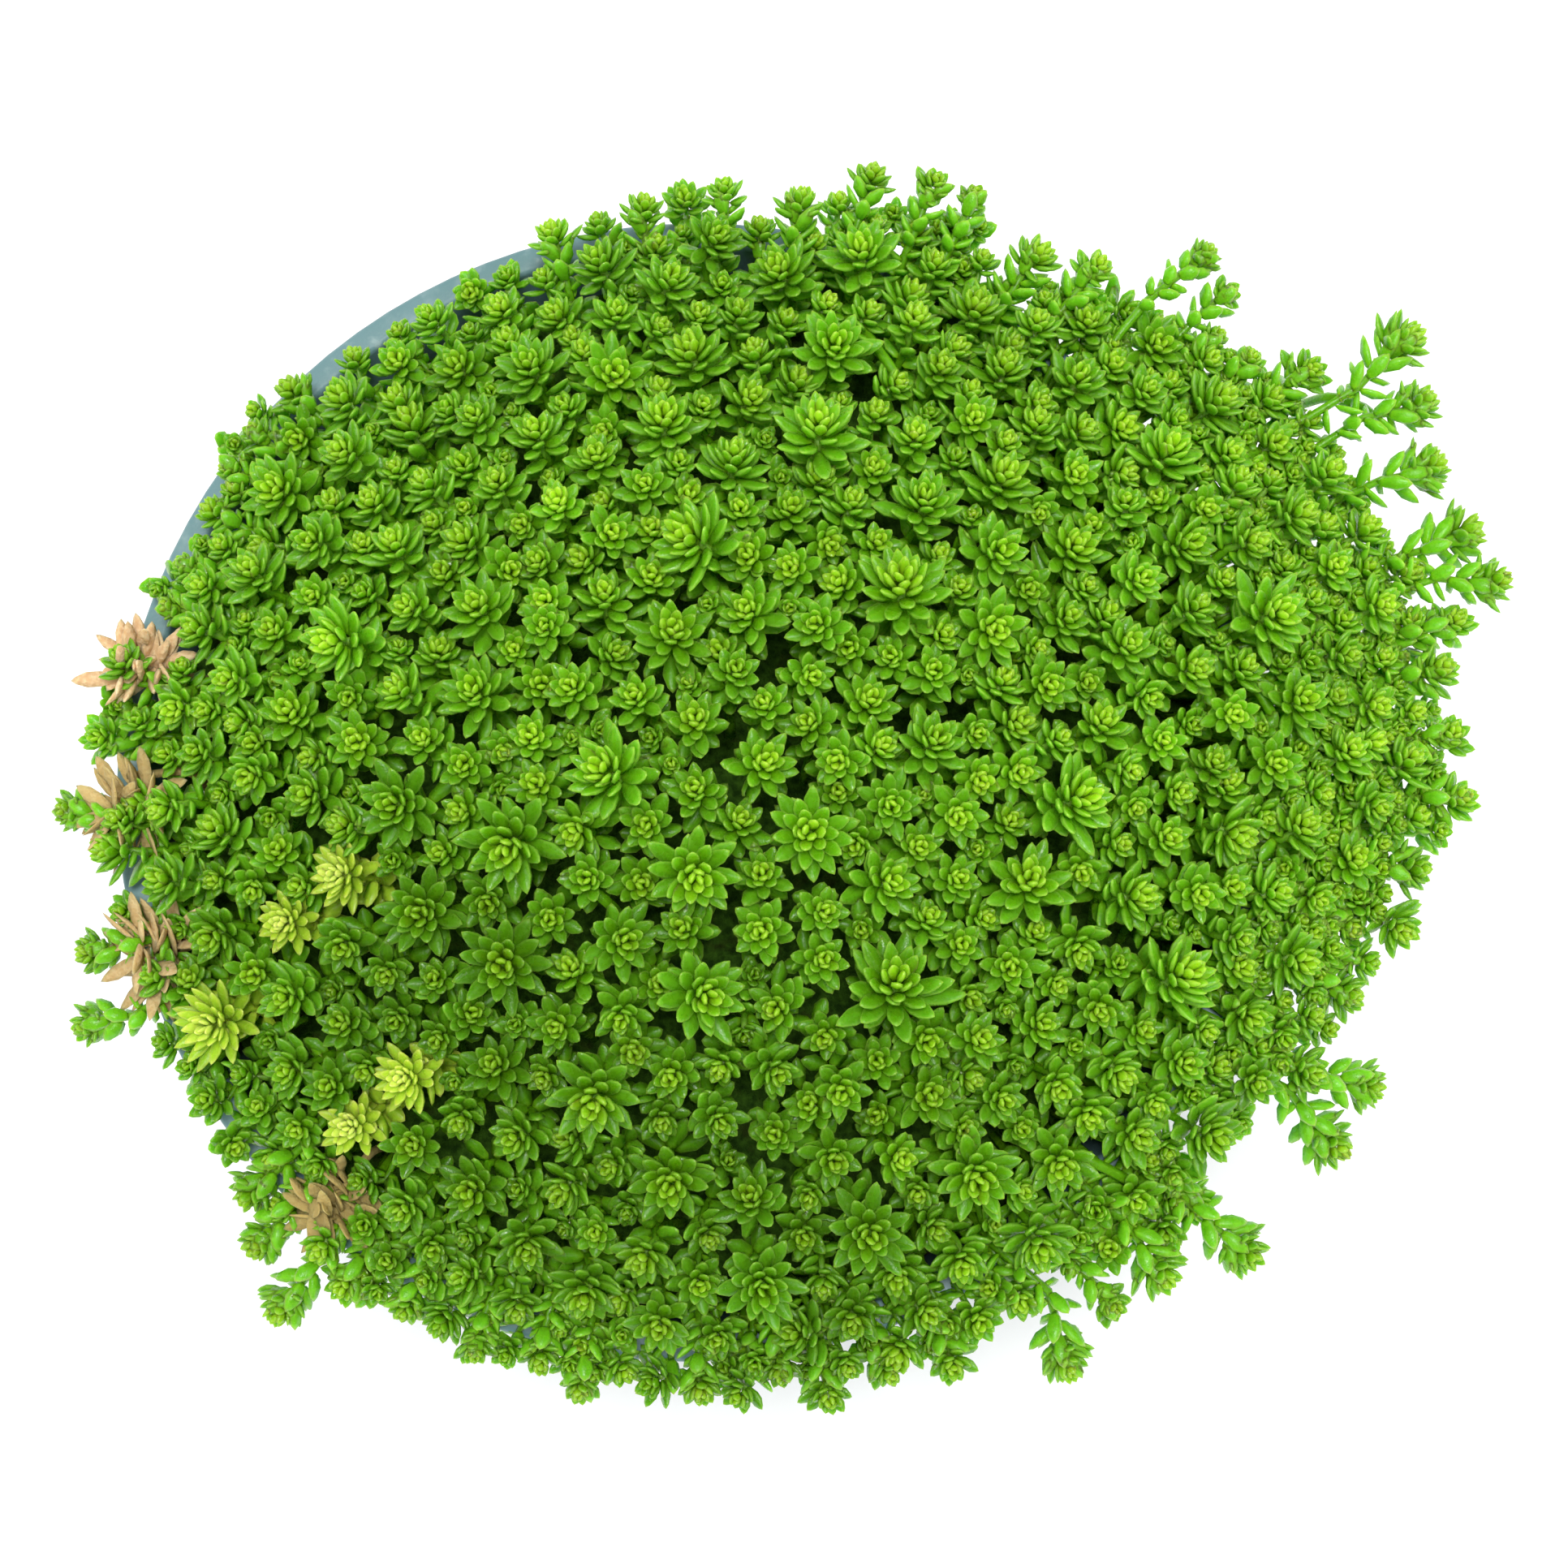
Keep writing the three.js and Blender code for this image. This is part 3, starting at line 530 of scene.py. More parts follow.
class Shoot:
    """One leafy shoot: where its rosette stands, how large it is, and of which kind."""

    def __init__(self, x, y, radius, kind, group=None, height=None, tall=False, fixed=True):
        self.x, self.y, self.radius, self.kind = x, y, radius, kind
        self.group, self.height, self.tall, self.fixed = group, height, tall, fixed

    def stand(self, draw):
        rise = HEIGHT_SPREAD * (draw() - 0.5) + (TALL_RISE if self.tall else 0)
        lean = Vector((LEAN_SPREAD * (draw() - 0.5), LEAN_SPREAD * (draw() - 0.5), 0))
        self.spin = 2 * math.pi * draw()
        x, y = self.x, self.y
        height = self.height if self.height is not None else dome_height(x, y) + rise
        self.head = Vector((x, y, height))
        self.axis = (facing(x, y) + lean).normalized()
        inwards = Vector((-x, -y, 0)).normalized()
        root = self.head - self.axis * STEM_LENGTH
        if self.kind == "edge":
            root = self.head + inwards * EDGE_STEM
        if self.kind == "runner":
            root = self.head + inwards * RUNNER_STEM
        if self.kind == "withered":
            root = -inwards * WITHERED_ROOT
        while is_outside(root):
            root = root + inwards
        root.z = core_top(root) - ROOT_DEPTH
        self.root = root


def core_top(spot):
    return dome_height(spot.x, spot.y) - CORE_DEPTH


def is_outside(root):
    distance = math.hypot(root.x, root.y)
    ledge = LEDGE_HEIGHT - LEDGE_FALL * max(0.0, distance - LEDGE_END)
    too_far = distance > reach_towards(root.x, root.y) - CORE_INSET - 1
    return too_far or core_top(root) < ledge + ROOT_DEPTH + ROOT_MARGIN


def around(degrees, distance):
    return distance * math.cos(math.radians(degrees)), distance * math.sin(math.radians(degrees))


def place_shoots():
    """Every shoot of the solid model, in its order."""
    draw = Draws(SEED)
    shoots = []
    for group, tuft in enumerate(YELLOW_TUFTS):
        shoots += [Shoot(x, y, radius, "yellow", group) for x, y, radius in tuft]
    for group, (degrees, distance, height, radius) in enumerate(WITHERED_TUFTS):
        shoots.append(Shoot(*around(degrees, distance), radius, "withered", group, height))
    for degrees, distance, height, radius in EDGE_SHOOTS:
        shoots.append(Shoot(*around(degrees, distance), radius, "edge", height=height))
    for number, (degrees, distance, height, radius) in enumerate(RUNNERS):
        shoots.append(Shoot(*around(degrees, distance), radius, "runner", number, height))
        shoots.append(Shoot(*around(degrees, distance - RUNNER_FREE[0]), RUNNER_FREE[1], "hollow"))
    shoots += [Shoot(x, y, radius, "green", tall=True) for x, y, radius in TALL_SHOOTS]
    shoots += [Shoot(x, y, HOLLOW_RADIUS, "hollow") for x, y in HOLLOWS]
    fixed = list(shoots)
    for i in range(int((FIELD_RADIUS / SHOOT_PITCH) ** 2 - 0.5) + 1):
        distance = SHOOT_PITCH * math.sqrt(i + 0.5)
        x = distance * math.cos(i * GOLDEN_ANGLE) + SHOOT_JITTER * (draw() - 0.5)
        y = distance * math.sin(i * GOLDEN_ANGLE) + SHOOT_JITTER * (draw() - 0.5)
        radius = ROSETTE_MIN + ROSETTE_SPREAD * draw() ** 2
        inside = math.hypot(x, y) < reach_towards(x, y) - EDGE_INSET
        if inside and all(math.hypot(s.x - x, s.y - y) >= FIXED_ROOM * (s.radius + radius) for s in fixed):
            shoots.append(Shoot(x, y, radius, "green", fixed=False))
    settle(shoots)
    shoots = [s for s in shoots if s.kind != "hollow"]
    for shoot in shoots:
        shoot.stand(draw)
    return shoots


def crowd(shoots, rounds, limit_at):
    """Pushes crowded shoots apart, and keeps them as near the axis as limit_at says for their angle."""
    for _ in range(rounds):
        for i, a in enumerate(shoots):
            for b in shoots[i + 1:]:
                room = a.radius + b.radius
                across, up = b.x - a.x, b.y - a.y
                if abs(across) >= room or abs(up) >= room or (a.fixed and b.fixed):
                    continue
                distance = math.hypot(across, up)
                crowding = room - distance
                if crowding <= 0:
                    continue
                step = (0.5 if a.fixed or b.fixed else 0.25) * crowding / distance
                if not a.fixed:
                    a.x, a.y = a.x - step * across, a.y - step * up
                if not b.fixed:
                    b.x, b.y = b.x + step * across, b.y + step * up
        for s in shoots:
            limit = limit_at(math.atan2(s.y, s.x))
            distance = math.hypot(s.x, s.y)
            if not s.fixed and distance > limit:
                s.x, s.y = s.x * limit / distance, s.y * limit / distance


def settle(shoots):
    """Gives every shoot its room, then trims each rosette clear of its neighbours."""
    crowd(shoots, SETTLE_ROUNDS, lambda angle: reach_at(angle) - EDGE_INSET)
    fits = []
    for a in shoots:
        others = (b for b in shoots if b is not a and b.kind != "hollow")
        gaps = ((math.hypot(b.x - a.x, b.y - a.y) - CLEARANCE) / (a.radius + b.radius) for b in others)
        fits.append(min(1.0, *gaps))
    for shoot, fit in zip(shoots, fits):
        shoot.radius *= fit


def small_reach(angle):
    """How far from the axis the small shoots stand at an angle."""
    turn = (math.degrees(angle) + 180) % 360 - 180
    shift = sum(amount for start, end, amount in EDGE_SHIFTS if start < turn < end)
    return reach_at(angle) - FILL_INSET - shift


def room_for(shoot):
    """The share of two radii that a small shoot keeps from a shoot: more from one that has to show."""
    return DRY_ROOM if shoot.kind == "withered" else FILL_ROOM


def place_fill(shoots):
    """The smaller shoots that crowd between the others, settled into their gaps."""
    draw = Draws(FILL_SEED)
    kept = shoots + [Shoot(x, y, radius / 2, "hollow") for x, y, radius in DARK_GAPS]
    for shoot in kept:
        shoot.fixed = True
    fill = []
    for i in range(int((FIELD_RADIUS / FILL_PITCH) ** 2)):
        distance = FILL_PITCH * math.sqrt(i + 0.5)
        angle = i * GOLDEN_ANGLE
        x, y = distance * math.cos(angle), distance * math.sin(angle)
        radius = FILL_RADIUS[0] + FILL_RADIUS[1] * draw()
        inside = distance < small_reach(angle)
        if inside and all(math.hypot(s.x - x, s.y - y) > room_for(s) * (s.radius + radius) for s in kept):
            fill.append(Shoot(x, y, radius, "fill", fixed=False))
    crowd(kept + fill, FILL_ROUNDS, small_reach)
    for shoot in fill:
        shoot.height = dome_height(shoot.x, shoot.y) - FILL_DROP[0] - FILL_DROP[1] * draw()
        shoot.stand(draw)
    for degrees, distance, height, radius in PERCHED:
        perched = Shoot(*around(degrees, distance), radius, "fill", height=height)
        perched.stand(draw)
        fill.append(perched)
    return fill


def place_low(shoots):
    """The lowest shoots, set one by one in the widest gap that is left."""
    draw = Draws(FILL_SEED + 1)
    steps = np.arange(-FIELD_RADIUS, FIELD_RADIUS, LOW_GRID)
    limits = [(x, y, small_reach(math.atan2(y, x)) - LOW_INSET) for x in steps for y in steps]
    spots = np.array([(x, y) for x, y, limit in limits if math.hypot(x, y) < limit])
    gap = np.full(len(spots), np.inf)
    for shoot in shoots + [Shoot(x, y, radius / ROSETTE_COVER, "hollow") for x, y, radius in DARK_GAPS]:
        away = np.hypot(spots[:, 0] - shoot.x, spots[:, 1] - shoot.y) - ROSETTE_COVER * shoot.radius
        gap = np.minimum(gap, away)
    allowed = np.where(np.hypot(*spots.T) > RIM_RADIUS, OUTER_GAP, LOW_GAP)
    low = []
    while (gap - allowed).max() > 0:
        widest = (gap - allowed).argmax()
        x, y = (float(c) for c in spots[widest])
        radius = min(LOW_RADIUS[1], max(LOW_RADIUS[0], LOW_SHARE * float(gap[widest])))
        if math.hypot(x, y) > RIM_RADIUS:
            radius *= OUTER_SIZE
        shoot = Shoot(x, y, radius, "low")
        shoot.height = dome_height(x, y) - LOW_DROP[0] - LOW_DROP[1] * draw()
        shoot.stand(draw)
        low.append(shoot)
        gap = np.minimum(gap, np.hypot(spots[:, 0] - x, spots[:, 1] - y) - ROSETTE_COVER * radius)
    return low


def tuft_seeds():
    """Where the green tufts stand, in the solid model's order."""
    seeds = []
    for ring, (radius, count) in enumerate(TUFT_RINGS):
        for i in range(count):
            angle = 2 * math.pi * (i + 0.5 * (ring % 2)) / count
            seeds.append((radius * math.cos(angle), radius * math.sin(angle)))
    return seeds


def green_tufts(shoots, fill):
    """The green shoots by tuft."""
    seeds = tuft_seeds()
    tufts = [[] for _ in seeds]
    for shoot in shoots + fill:
        if shoot.kind in ("yellow", "withered"):
            continue
        nearest = min(range(len(seeds)), key=lambda n: math.dist(seeds[n], shoot.root.xy))
        tufts[nearest].append(shoot)
    return [tuft for tuft in tufts if any(s.kind not in ("fill", "low") for s in tuft)]


# Growing: stems and leaves as arrays, one mesh for each tuft


class Growth:
    """The leaves and stems of one piece, and what their finish reads at each point."""

    def __init__(self):
        self.points, self.corners, self.starts, self.finishes = [], [], [], []
        self.looks = {"age": [], "along": [], "tone": [], "margin": []}
        self.point_count = 0
        self.corner_count = 0

    def add(self, points, corners, starts, finish, *looks):
        self.points.append(points)
        self.corners.append(corners + self.point_count)
        self.starts.append(starts + self.corner_count)
        self.finishes.append(np.full(len(starts), finish))
        for kept, values in zip(self.looks.values(), looks):
            kept.append(np.broadcast_to(values, len(points)))
        self.point_count += len(points)
        self.corner_count += len(corners)

    def piece(self, name):
        mesh = bpy.data.meshes.new(name)
        corners = np.concatenate(self.corners)
        starts = np.concatenate(self.starts)
        mesh.vertices.add(self.point_count)
        mesh.vertices.foreach_set("co", (np.concatenate(self.points) * MM).ravel())
        mesh.loops.add(len(corners))
        mesh.loops.foreach_set("vertex_index", corners)
        mesh.polygons.add(len(starts))
        mesh.polygons.foreach_set("loop_start", starts)
        mesh.polygons.foreach_set("material_index", np.concatenate(self.finishes))
        mesh.polygons.foreach_set("use_smooth", np.ones(len(starts), bool))
        for look, values in self.looks.items():
            layer = mesh.attributes.new(look, "FLOAT", "POINT")
            layer.data.foreach_set("value", np.concatenate(values).astype(np.float32))
        mesh.update(calc_edges=True)
        piece = bpy.data.objects.new(name, mesh)
        bpy.context.scene.collection.objects.link(piece)
        return piece


def read_all(items, name, kind, width=1):
    """One value of every point, corner or face of a mesh, as an array."""
    values = np.empty(len(items) * width, kind)
    items.foreach_get(name, values)
    return values


class LeafShape:
    """The modelled leaf as arrays: X across it, Y through it and Z along it, from its foot to its tip."""

    def __init__(self, mesh):
        self.points = read_all(mesh.vertices, "co", float, 3).reshape(-1, 3)
        self.corners = read_all(mesh.loops, "vertex_index", int)
        self.starts = read_all(mesh.polygons, "loop_start", int)
        levels = np.round(self.points[:, 2], 4)
        widest = np.array([np.abs(self.points[levels == level, 0]).max() for level in levels])
        self.margin = np.abs(self.points[:, 0]) / np.maximum(widest, 1e-6)

    def copies(self, growth, leaves, finish, thickness=LEAF_THICKNESS):
        """Adds a copy for each leaf in a leaf_table, bent towards its upper side by its curl."""
        foot, axis = leaves[:, 0:3], leaves[:, 3:6]
        turn, spread, length, width, curl, age, tone, roll = (column[:, None] for column in leaves[:, 6:].T)
        first = across_of(axis)
        outwards = first * np.cos(turn) + np.cross(axis, first) * np.sin(turn)
        along = axis * np.cos(spread) + outwards * np.sin(spread)
        upper = axis * np.sin(spread) - outwards * np.cos(spread)
        side = np.cross(upper, along)
        upper, side = upper * np.cos(roll) + side * np.sin(roll), side * np.cos(roll) - upper * np.sin(roll)
        x, y, z = self.points.T
        through = y * width * (thickness + YOUNG_ROUNDNESS * np.maximum(0.0, 1 - age / YOUNG_END)) / 2
        through = through + curl * length * z * z
        points = foot[:, None] + side[:, None] * (x * width / 2)[:, :, None]
        points = points + upper[:, None] * through[:, :, None] + along[:, None] * (z * length)[:, :, None]
        count = np.arange(len(leaves))[:, None]
        growth.add(
            points.reshape(-1, 3),
            (self.corners + count * len(self.points)).ravel(),
            (self.starts + count * len(self.corners)).ravel(),
            finish,
            np.repeat(age.ravel(), len(z)),
            np.tile(z, len(leaves)),
            np.repeat(tone.ravel(), len(z)),
            np.tile(self.margin, len(leaves)),
        )


def across_of(axis):
    """A unit vector across each axis."""
    reference = np.where(np.abs(axis[:, :1]) < 0.8, [[1.0, 0.0, 0.0]], [[0.0, 1.0, 0.0]])
    first = np.cross(axis, reference)
    return first / np.linalg.norm(first, axis=1, keepdims=True)


def leaf_table(foot, axis, turn, spread, length, width, curl, age, tone, roll):
    count = len(turn)
    columns = [np.broadcast_to(foot, (count, 3)), np.broadcast_to(axis, (count, 3))]
    values = (turn, spread, length, width, curl, age, tone, roll)
    columns += [np.broadcast_to(value, count)[:, None] for value in values]
    return np.hstack(columns)


def add_stem(growth, path, radii, finish, age, tone):
    """A round closed stem along a path of points."""
    steps = len(path)
    heading = np.gradient(path, axis=0)
    heading /= np.linalg.norm(heading, axis=1, keepdims=True)
    first = across_of(heading[:1])[0]
    angles = 2 * math.pi * np.arange(STEM_SIDES) / STEM_SIDES
    rings = []
    for centre, forward, radius in zip(path, heading, radii):
        first = first - forward * (first @ forward)
        first = first / np.linalg.norm(first)
        rings.append(centre + radius * ring_round(angles, first, np.cross(forward, first)))
    points = np.concatenate(rings)
    ring = np.arange(STEM_SIDES)
    after = (ring + 1) % STEM_SIDES
    level = np.arange(steps - 1)[:, None] * STEM_SIDES
    near, far = ring + level, after + level
    quads = np.stack([near, far, far + STEM_SIDES, near + STEM_SIDES], 2)
    ends = np.concatenate([ring[::-1], ring + (steps - 1) * STEM_SIDES])
    corners = np.concatenate([quads.ravel(), ends])
    starts = np.concatenate([np.arange(quads.size // 4) * 4, quads.size + np.array([0, STEM_SIDES])])
    along = np.repeat(np.linspace(0, 1, steps), STEM_SIDES)
    growth.add(points, corners, starts, finish, age, along, tone, 0.0)


def travel(path):
    """How far along a path each of its points is."""
    return np.concatenate([[0], np.cumsum(np.linalg.norm(np.diff(path, axis=0), axis=1))])


def points_at(places, travelled, path):
    """The points of a path at some places, by how far along it its own points are."""
    return np.stack([np.interp(places, travelled, axis) for axis in path.T], 1)


def ring_round(angles, first, second):
    """Unit vectors at angles from the first vector towards the second."""
    return np.outer(np.cos(angles), first) + np.outer(np.sin(angles), second)


def smooth_path(stops, steps):
    """Points spaced along a curve through the stops."""
    stops = np.array(stops, float)
    padded = np.vstack([2 * stops[0] - stops[1], stops, 2 * stops[-1] - stops[-2]])
    shares = np.linspace(0, 1, CURVE_STEPS, endpoint=False)[:, None]
    dense = []
    for a, b, c, d in zip(padded, padded[1:], padded[2:], padded[3:]):
        bend = (2 * a - 5 * b + 4 * c - d) * shares**2 + (3 * b - a - 3 * c + d) * shares**3
        dense.append(0.5 * (2 * b + (c - a) * shares + bend))
    dense = np.vstack([*dense, stops[-1:]])
    travelled = travel(dense)
    return points_at(np.linspace(0, travelled[-1], steps), travelled, dense)


# How a stem gets from the soil to its root. Its foot is so far under the root or in the soil, and sways
# aside. Past a distance from the axis its foot is inside the rim, and further out it climbs over the rim too
STEM_DROP = 14.0
SOIL_DEPTH = 1.5
STEM_SWAY = 2.8
INSIDE_RIM = 67.0
RIM_FOOT = (64.0, 104.0)
RIM_ROOT_LIFT = 1.0
OVER_RIM_FROM = 75.5
OVER_RIM = (73.5, 113.2)

# Where it ends under the rosette, as a share of the radius, how long it is straight there, and how far an
# edge shoot's or a runner's rises on the way and a runner's swings aside
BUD_FOOT = 0.15
STEM_NECK = 3.2
EDGE_LIFT = 1.5
RUNNER_LIFT = 2.5
RUNNER_SWING = 2.6

# How its radius changes from its foot to its bud, and how much thinner a small shoot's is
STEM_TAPER = (1.25, 0.8)
SMALL_STEM = 0.8


def stem_stops(shoot):
    """The points that a shoot's stem passes, up to just under its bud."""
    root, head, axis, radius = shoot.root, shoot.head, shoot.axis, shoot.radius
    end = head - axis * (BUD_FOOT * radius)
    sway = STEM_SWAY * Vector((math.cos(5 * shoot.spin), math.sin(5 * shoot.spin), 0))
    distance = math.hypot(root.x, root.y)
    if distance > INSIDE_RIM:
        out = Vector((root.x, root.y, 0)) / distance
        foot = out * RIM_FOOT[0] + sway
        foot.z = RIM_FOOT[1]
        stops = [foot]
        if distance > OVER_RIM_FROM:
            crossing = out * OVER_RIM[0]
            crossing.z = OVER_RIM[1]
            stops.append(crossing)
        root = root + Vector((0, 0, RIM_ROOT_LIFT))
        stops.append(root)
    else:
        foot = root + sway
        foot.z = max(SOIL_HEIGHT - SOIL_DEPTH, root.z - STEM_DROP)
        stops = [foot, root]
    if shoot.kind == "runner":
        sideways = Vector((-head.y, head.x, 0)).normalized() * (RUNNER_SWING * math.sin(shoot.spin))
        stops.append((root + head) / 2 + Vector((0, 0, RUNNER_LIFT)) + sideways)
    elif shoot.kind == "edge":
        stops.append((root + end) / 2 + Vector((0, 0, EDGE_LIFT)))
    else:
        stops.append(head - axis * (BUD_FOOT * radius + STEM_NECK))
    return stops + [end]


# Soft patches of painted light and shade on the mat, lighter or darker than its common tone: x, y, size and
# how much
COMMON_TONE = 0.5
LIGHT_AND_SHADE_PATCHES = [
    (-36, -36, 30, -0.6), (3, 12, 15, -0.08), (12, -62, 32, -0.62), (84, 26, 40, 0.22), (-66, 2, 30, 0.12),
    (20, 70, 30, 0.06), (50, 0, 26, 0.02),
]

# The yellow shoots' tone, how much lighter a tall shoot's leaves are, and the painted light that lifts the
# shade on the leaves down a stem, and on those that hang past the rim besides
YELLOW_TONE = 0.5
TALL_TONE = 0.14
DEEP_PAINTED_LIGHT = 0.44
OUTER_PAINTED_LIGHT = 0.26


# The mat's common tone, with the painted light and shade of the patches at a spot
def painted_light_at(x, y):
    lift = 0.0
    for a, b, size, amount in LIGHT_AND_SHADE_PATCHES:
        lift += amount * math.exp(-((x - a) ** 2 + (y - b) ** 2) / size**2)
    return COMMON_TONE + lift


def tone_of(shoot):
    if shoot.kind == "yellow":
        return YELLOW_TONE
    return painted_light_at(shoot.x, shoot.y) + (TALL_TONE if shoot.tall else 0.0)


# How much each kind of shoot leans outwards at the mat's edge, and how far it may lean any way besides
LEANS = {
    "green": (-0.3, 0.18), "tall": (-0.3, 0.24), "fill": (-0.3, 0.25), "low": (-0.3, 0.28),
    "edge": (0.1, 0.16), "runner": (0.8, 0.14), "yellow": (-0.5, 0.1),
}


def habit(shoot):
    """The kind whose leaves and lean a shoot takes."""
    return "tall" if shoot.tall else shoot.kind


def lean_over(shoot, random):
    """Leans a shoot's rosette as shoots of its kind do."""
    outwards = Vector((shoot.x, shoot.y, 0)) / reach_towards(shoot.x, shoot.y)
    steady, loose = LEANS[habit(shoot)]
    steady *= outwards.length
    shoot.axis = (shoot.axis + steady * outwards + Vector((*random.normal(0, loose, 2), 0))).normalized()


def changing(share, first, change, power=1.0):
    """A measure that goes from its first value by its change as a share goes from 0 to 1."""
    return first + change * share**power


# A rosette's leaves: how many more there are for each millimetre of radius past the common one, how many more
# and how much slimmer a yellow rosette's are, and how much larger a runner's rosette is than its room
COMMON_RADIUS = 4.0
LEAVES_PER_MM = 4.2
YELLOW_MORE = 12
YELLOW_SLIM = 0.78
RUNNER_SIZE = 1.15

# How they change from the bud outwards, as first value, change and power. Height and length are shares of
# the radius, the opening from the stem is in degrees, and the width is a share of a grown leaf's, which is
# also wider in a larger rosette
LEAF_HEIGHT = (0.34, -0.74, 0.85)
LEAF_OPENING = (12, 64)
LEAF_LENGTH = (0.46, 0.7, 0.9)
LEAF_WIDTH = (0.58, 0.42, 0.75)
LEAF_CURL = (0.02, 0.07)
WIDTH_FOR_RADIUS = (0.7, 0.09)

# How far out from the stem their feet stand, as a share of the radius, and the age that gets there
FOOT_RING = (0.1, 0.15)

# How old the outermost look, how much older the lowest shoots' do, how much a rosette's age and tone vary,
# and how much lighter its bud can be, partly its own tone and partly painted light against the shade between
# its beads, with the age where that ends
OUTER_AGE = 0.7
LOW_AGE = 0.12
AGE_SPREAD = 0.05
TONE_SPREAD = 0.14
BUD_TONE_AND_LIGHT = (0.0, 0.32)
BUD_END = 0.35

# How much single leaves vary: in length, turn and roll on every shoot, and in what else in a rosette
LENGTH_LOOSE = 0.1
TURN_LOOSE = 0.2
ROLL_LOOSE = 0.2
OPENING_LOOSE = 7
CURL_LOOSE = 0.05
TONE_LOOSE = 0.1


def rosette_leaves(shoot, sizes, random):
    """The rosette's leaves: small upright beads in the bud, and longer, wider and flatter ones outwards."""
    radius = shoot.radius
    yellow = shoot.kind == "yellow"
    count = round(sizes.leaf_count + LEAVES_PER_MM * (radius - COMMON_RADIUS))
    if yellow:
        count += YELLOW_MORE
    step = np.arange(count)
    age = (step + 0.25) / count
    jitter = random.uniform(-1, 1, (4, count))
    head, axis = np.array(shoot.head), np.array(shoot.axis)
    if shoot.kind == "runner":
        radius *= RUNNER_SIZE
    width = sizes.leaf_width * changing(radius, *WIDTH_FOR_RADIUS) * (YELLOW_SLIM if yellow else 1.0)
    width = width * changing(age, *LEAF_WIDTH)
    base_tone = tone_of(shoot) + random.normal(0, TONE_SPREAD)
    bud_tone_and_light, youth = random.uniform(*BUD_TONE_AND_LIGHT), random.normal(0, AGE_SPREAD)
    height = radius * changing(age, *LEAF_HEIGHT)
    opening = np.radians(changing(age, *LEAF_OPENING) + OPENING_LOOSE * jitter[0])
    length = radius * changing(age, *LEAF_LENGTH) * (1 + LENGTH_LOOSE * jitter[1])
    turn = shoot.spin + GOLDEN_ANGLE * step + TURN_LOOSE * jitter[2]
    first = across_of(axis[None])[0]
    outwards = ring_round(turn, first, np.cross(axis, first))
    ring = FOOT_RING[0] * radius * np.minimum(1.0, age / FOOT_RING[1])
    foot = head + height[:, None] * axis + ring[:, None] * outwards
    curl = changing(age, *LEAF_CURL) + CURL_LOOSE * jitter[3]
    # The bud's lift is partly its own lighter tone and partly painted light against the shade between its
    # beads
    tone = base_tone + TONE_LOOSE * jitter[3] + bud_tone_and_light * np.maximum(0.0, 1 - age / BUD_END)
    shown_age = np.clip(OUTER_AGE * age - youth + (LOW_AGE if shoot.kind == "low" else 0.0), 0.0, 1.0)
    roll = ROLL_LOOSE * jitter[2]
    return leaf_table(foot, axis, turn, opening, length, width, curl, shown_age, tone, roll)


# The older leaves of each kind of shoot: how far down its stem, how close, how much they thin out, how long,
# and how far they open from the stem at its top and further down, in degrees
STEM_LEAVES = {
    "green": (9.0, 0.85, 0.0, 1.15, 70, 88), "tall": (12.0, 0.62, 0.0, 0.86, 66, 84),
    "fill": (8.0, 1.0, 0.0, 1.25, 70, 88), "low": (5.0, 1.0, 0.0, 1.5, 72, 86),
    "edge": (13.0, 0.48, 0.02, 1.2, 52, 84), "runner": (12.0, 0.2, 0.14, 1.4, 50, 76),
    "bare": (6.5, 0.2, 0.14, 1.3, 46, 66), "yellow": (9.0, 0.6, 0.0, 1.0, 62, 84),
}


# Near the mat's edge the stems carry leaves further down: how wide that zone is, and how much further
RIM_ZONE = 7.0
RIM_LEAVES = 4.0

# The leaves down a stem: where they begin, as a share of the radius, how many there are at most, and the
# share of the stem that they may take up
OLDER_START = 0.42
OLDER_MOST = 40
OLDER_ROOM = 0.85

# Their least and greatest length, how they change down the stem, as first value and change, their curl, and
# how much the opening and the tone of single ones vary
OLDER_LENGTHS = (3.7, 6.4)
OLDER_SHORTER = (1, -0.2)
OLDER_WIDTH = (1.18, -0.12)
OLDER_AGE = (0.72, 0.28)
OLDER_CURL = 0.16
OLDER_OPENING_LOOSE = 10
OLDER_TONE_LOOSE = 0.12


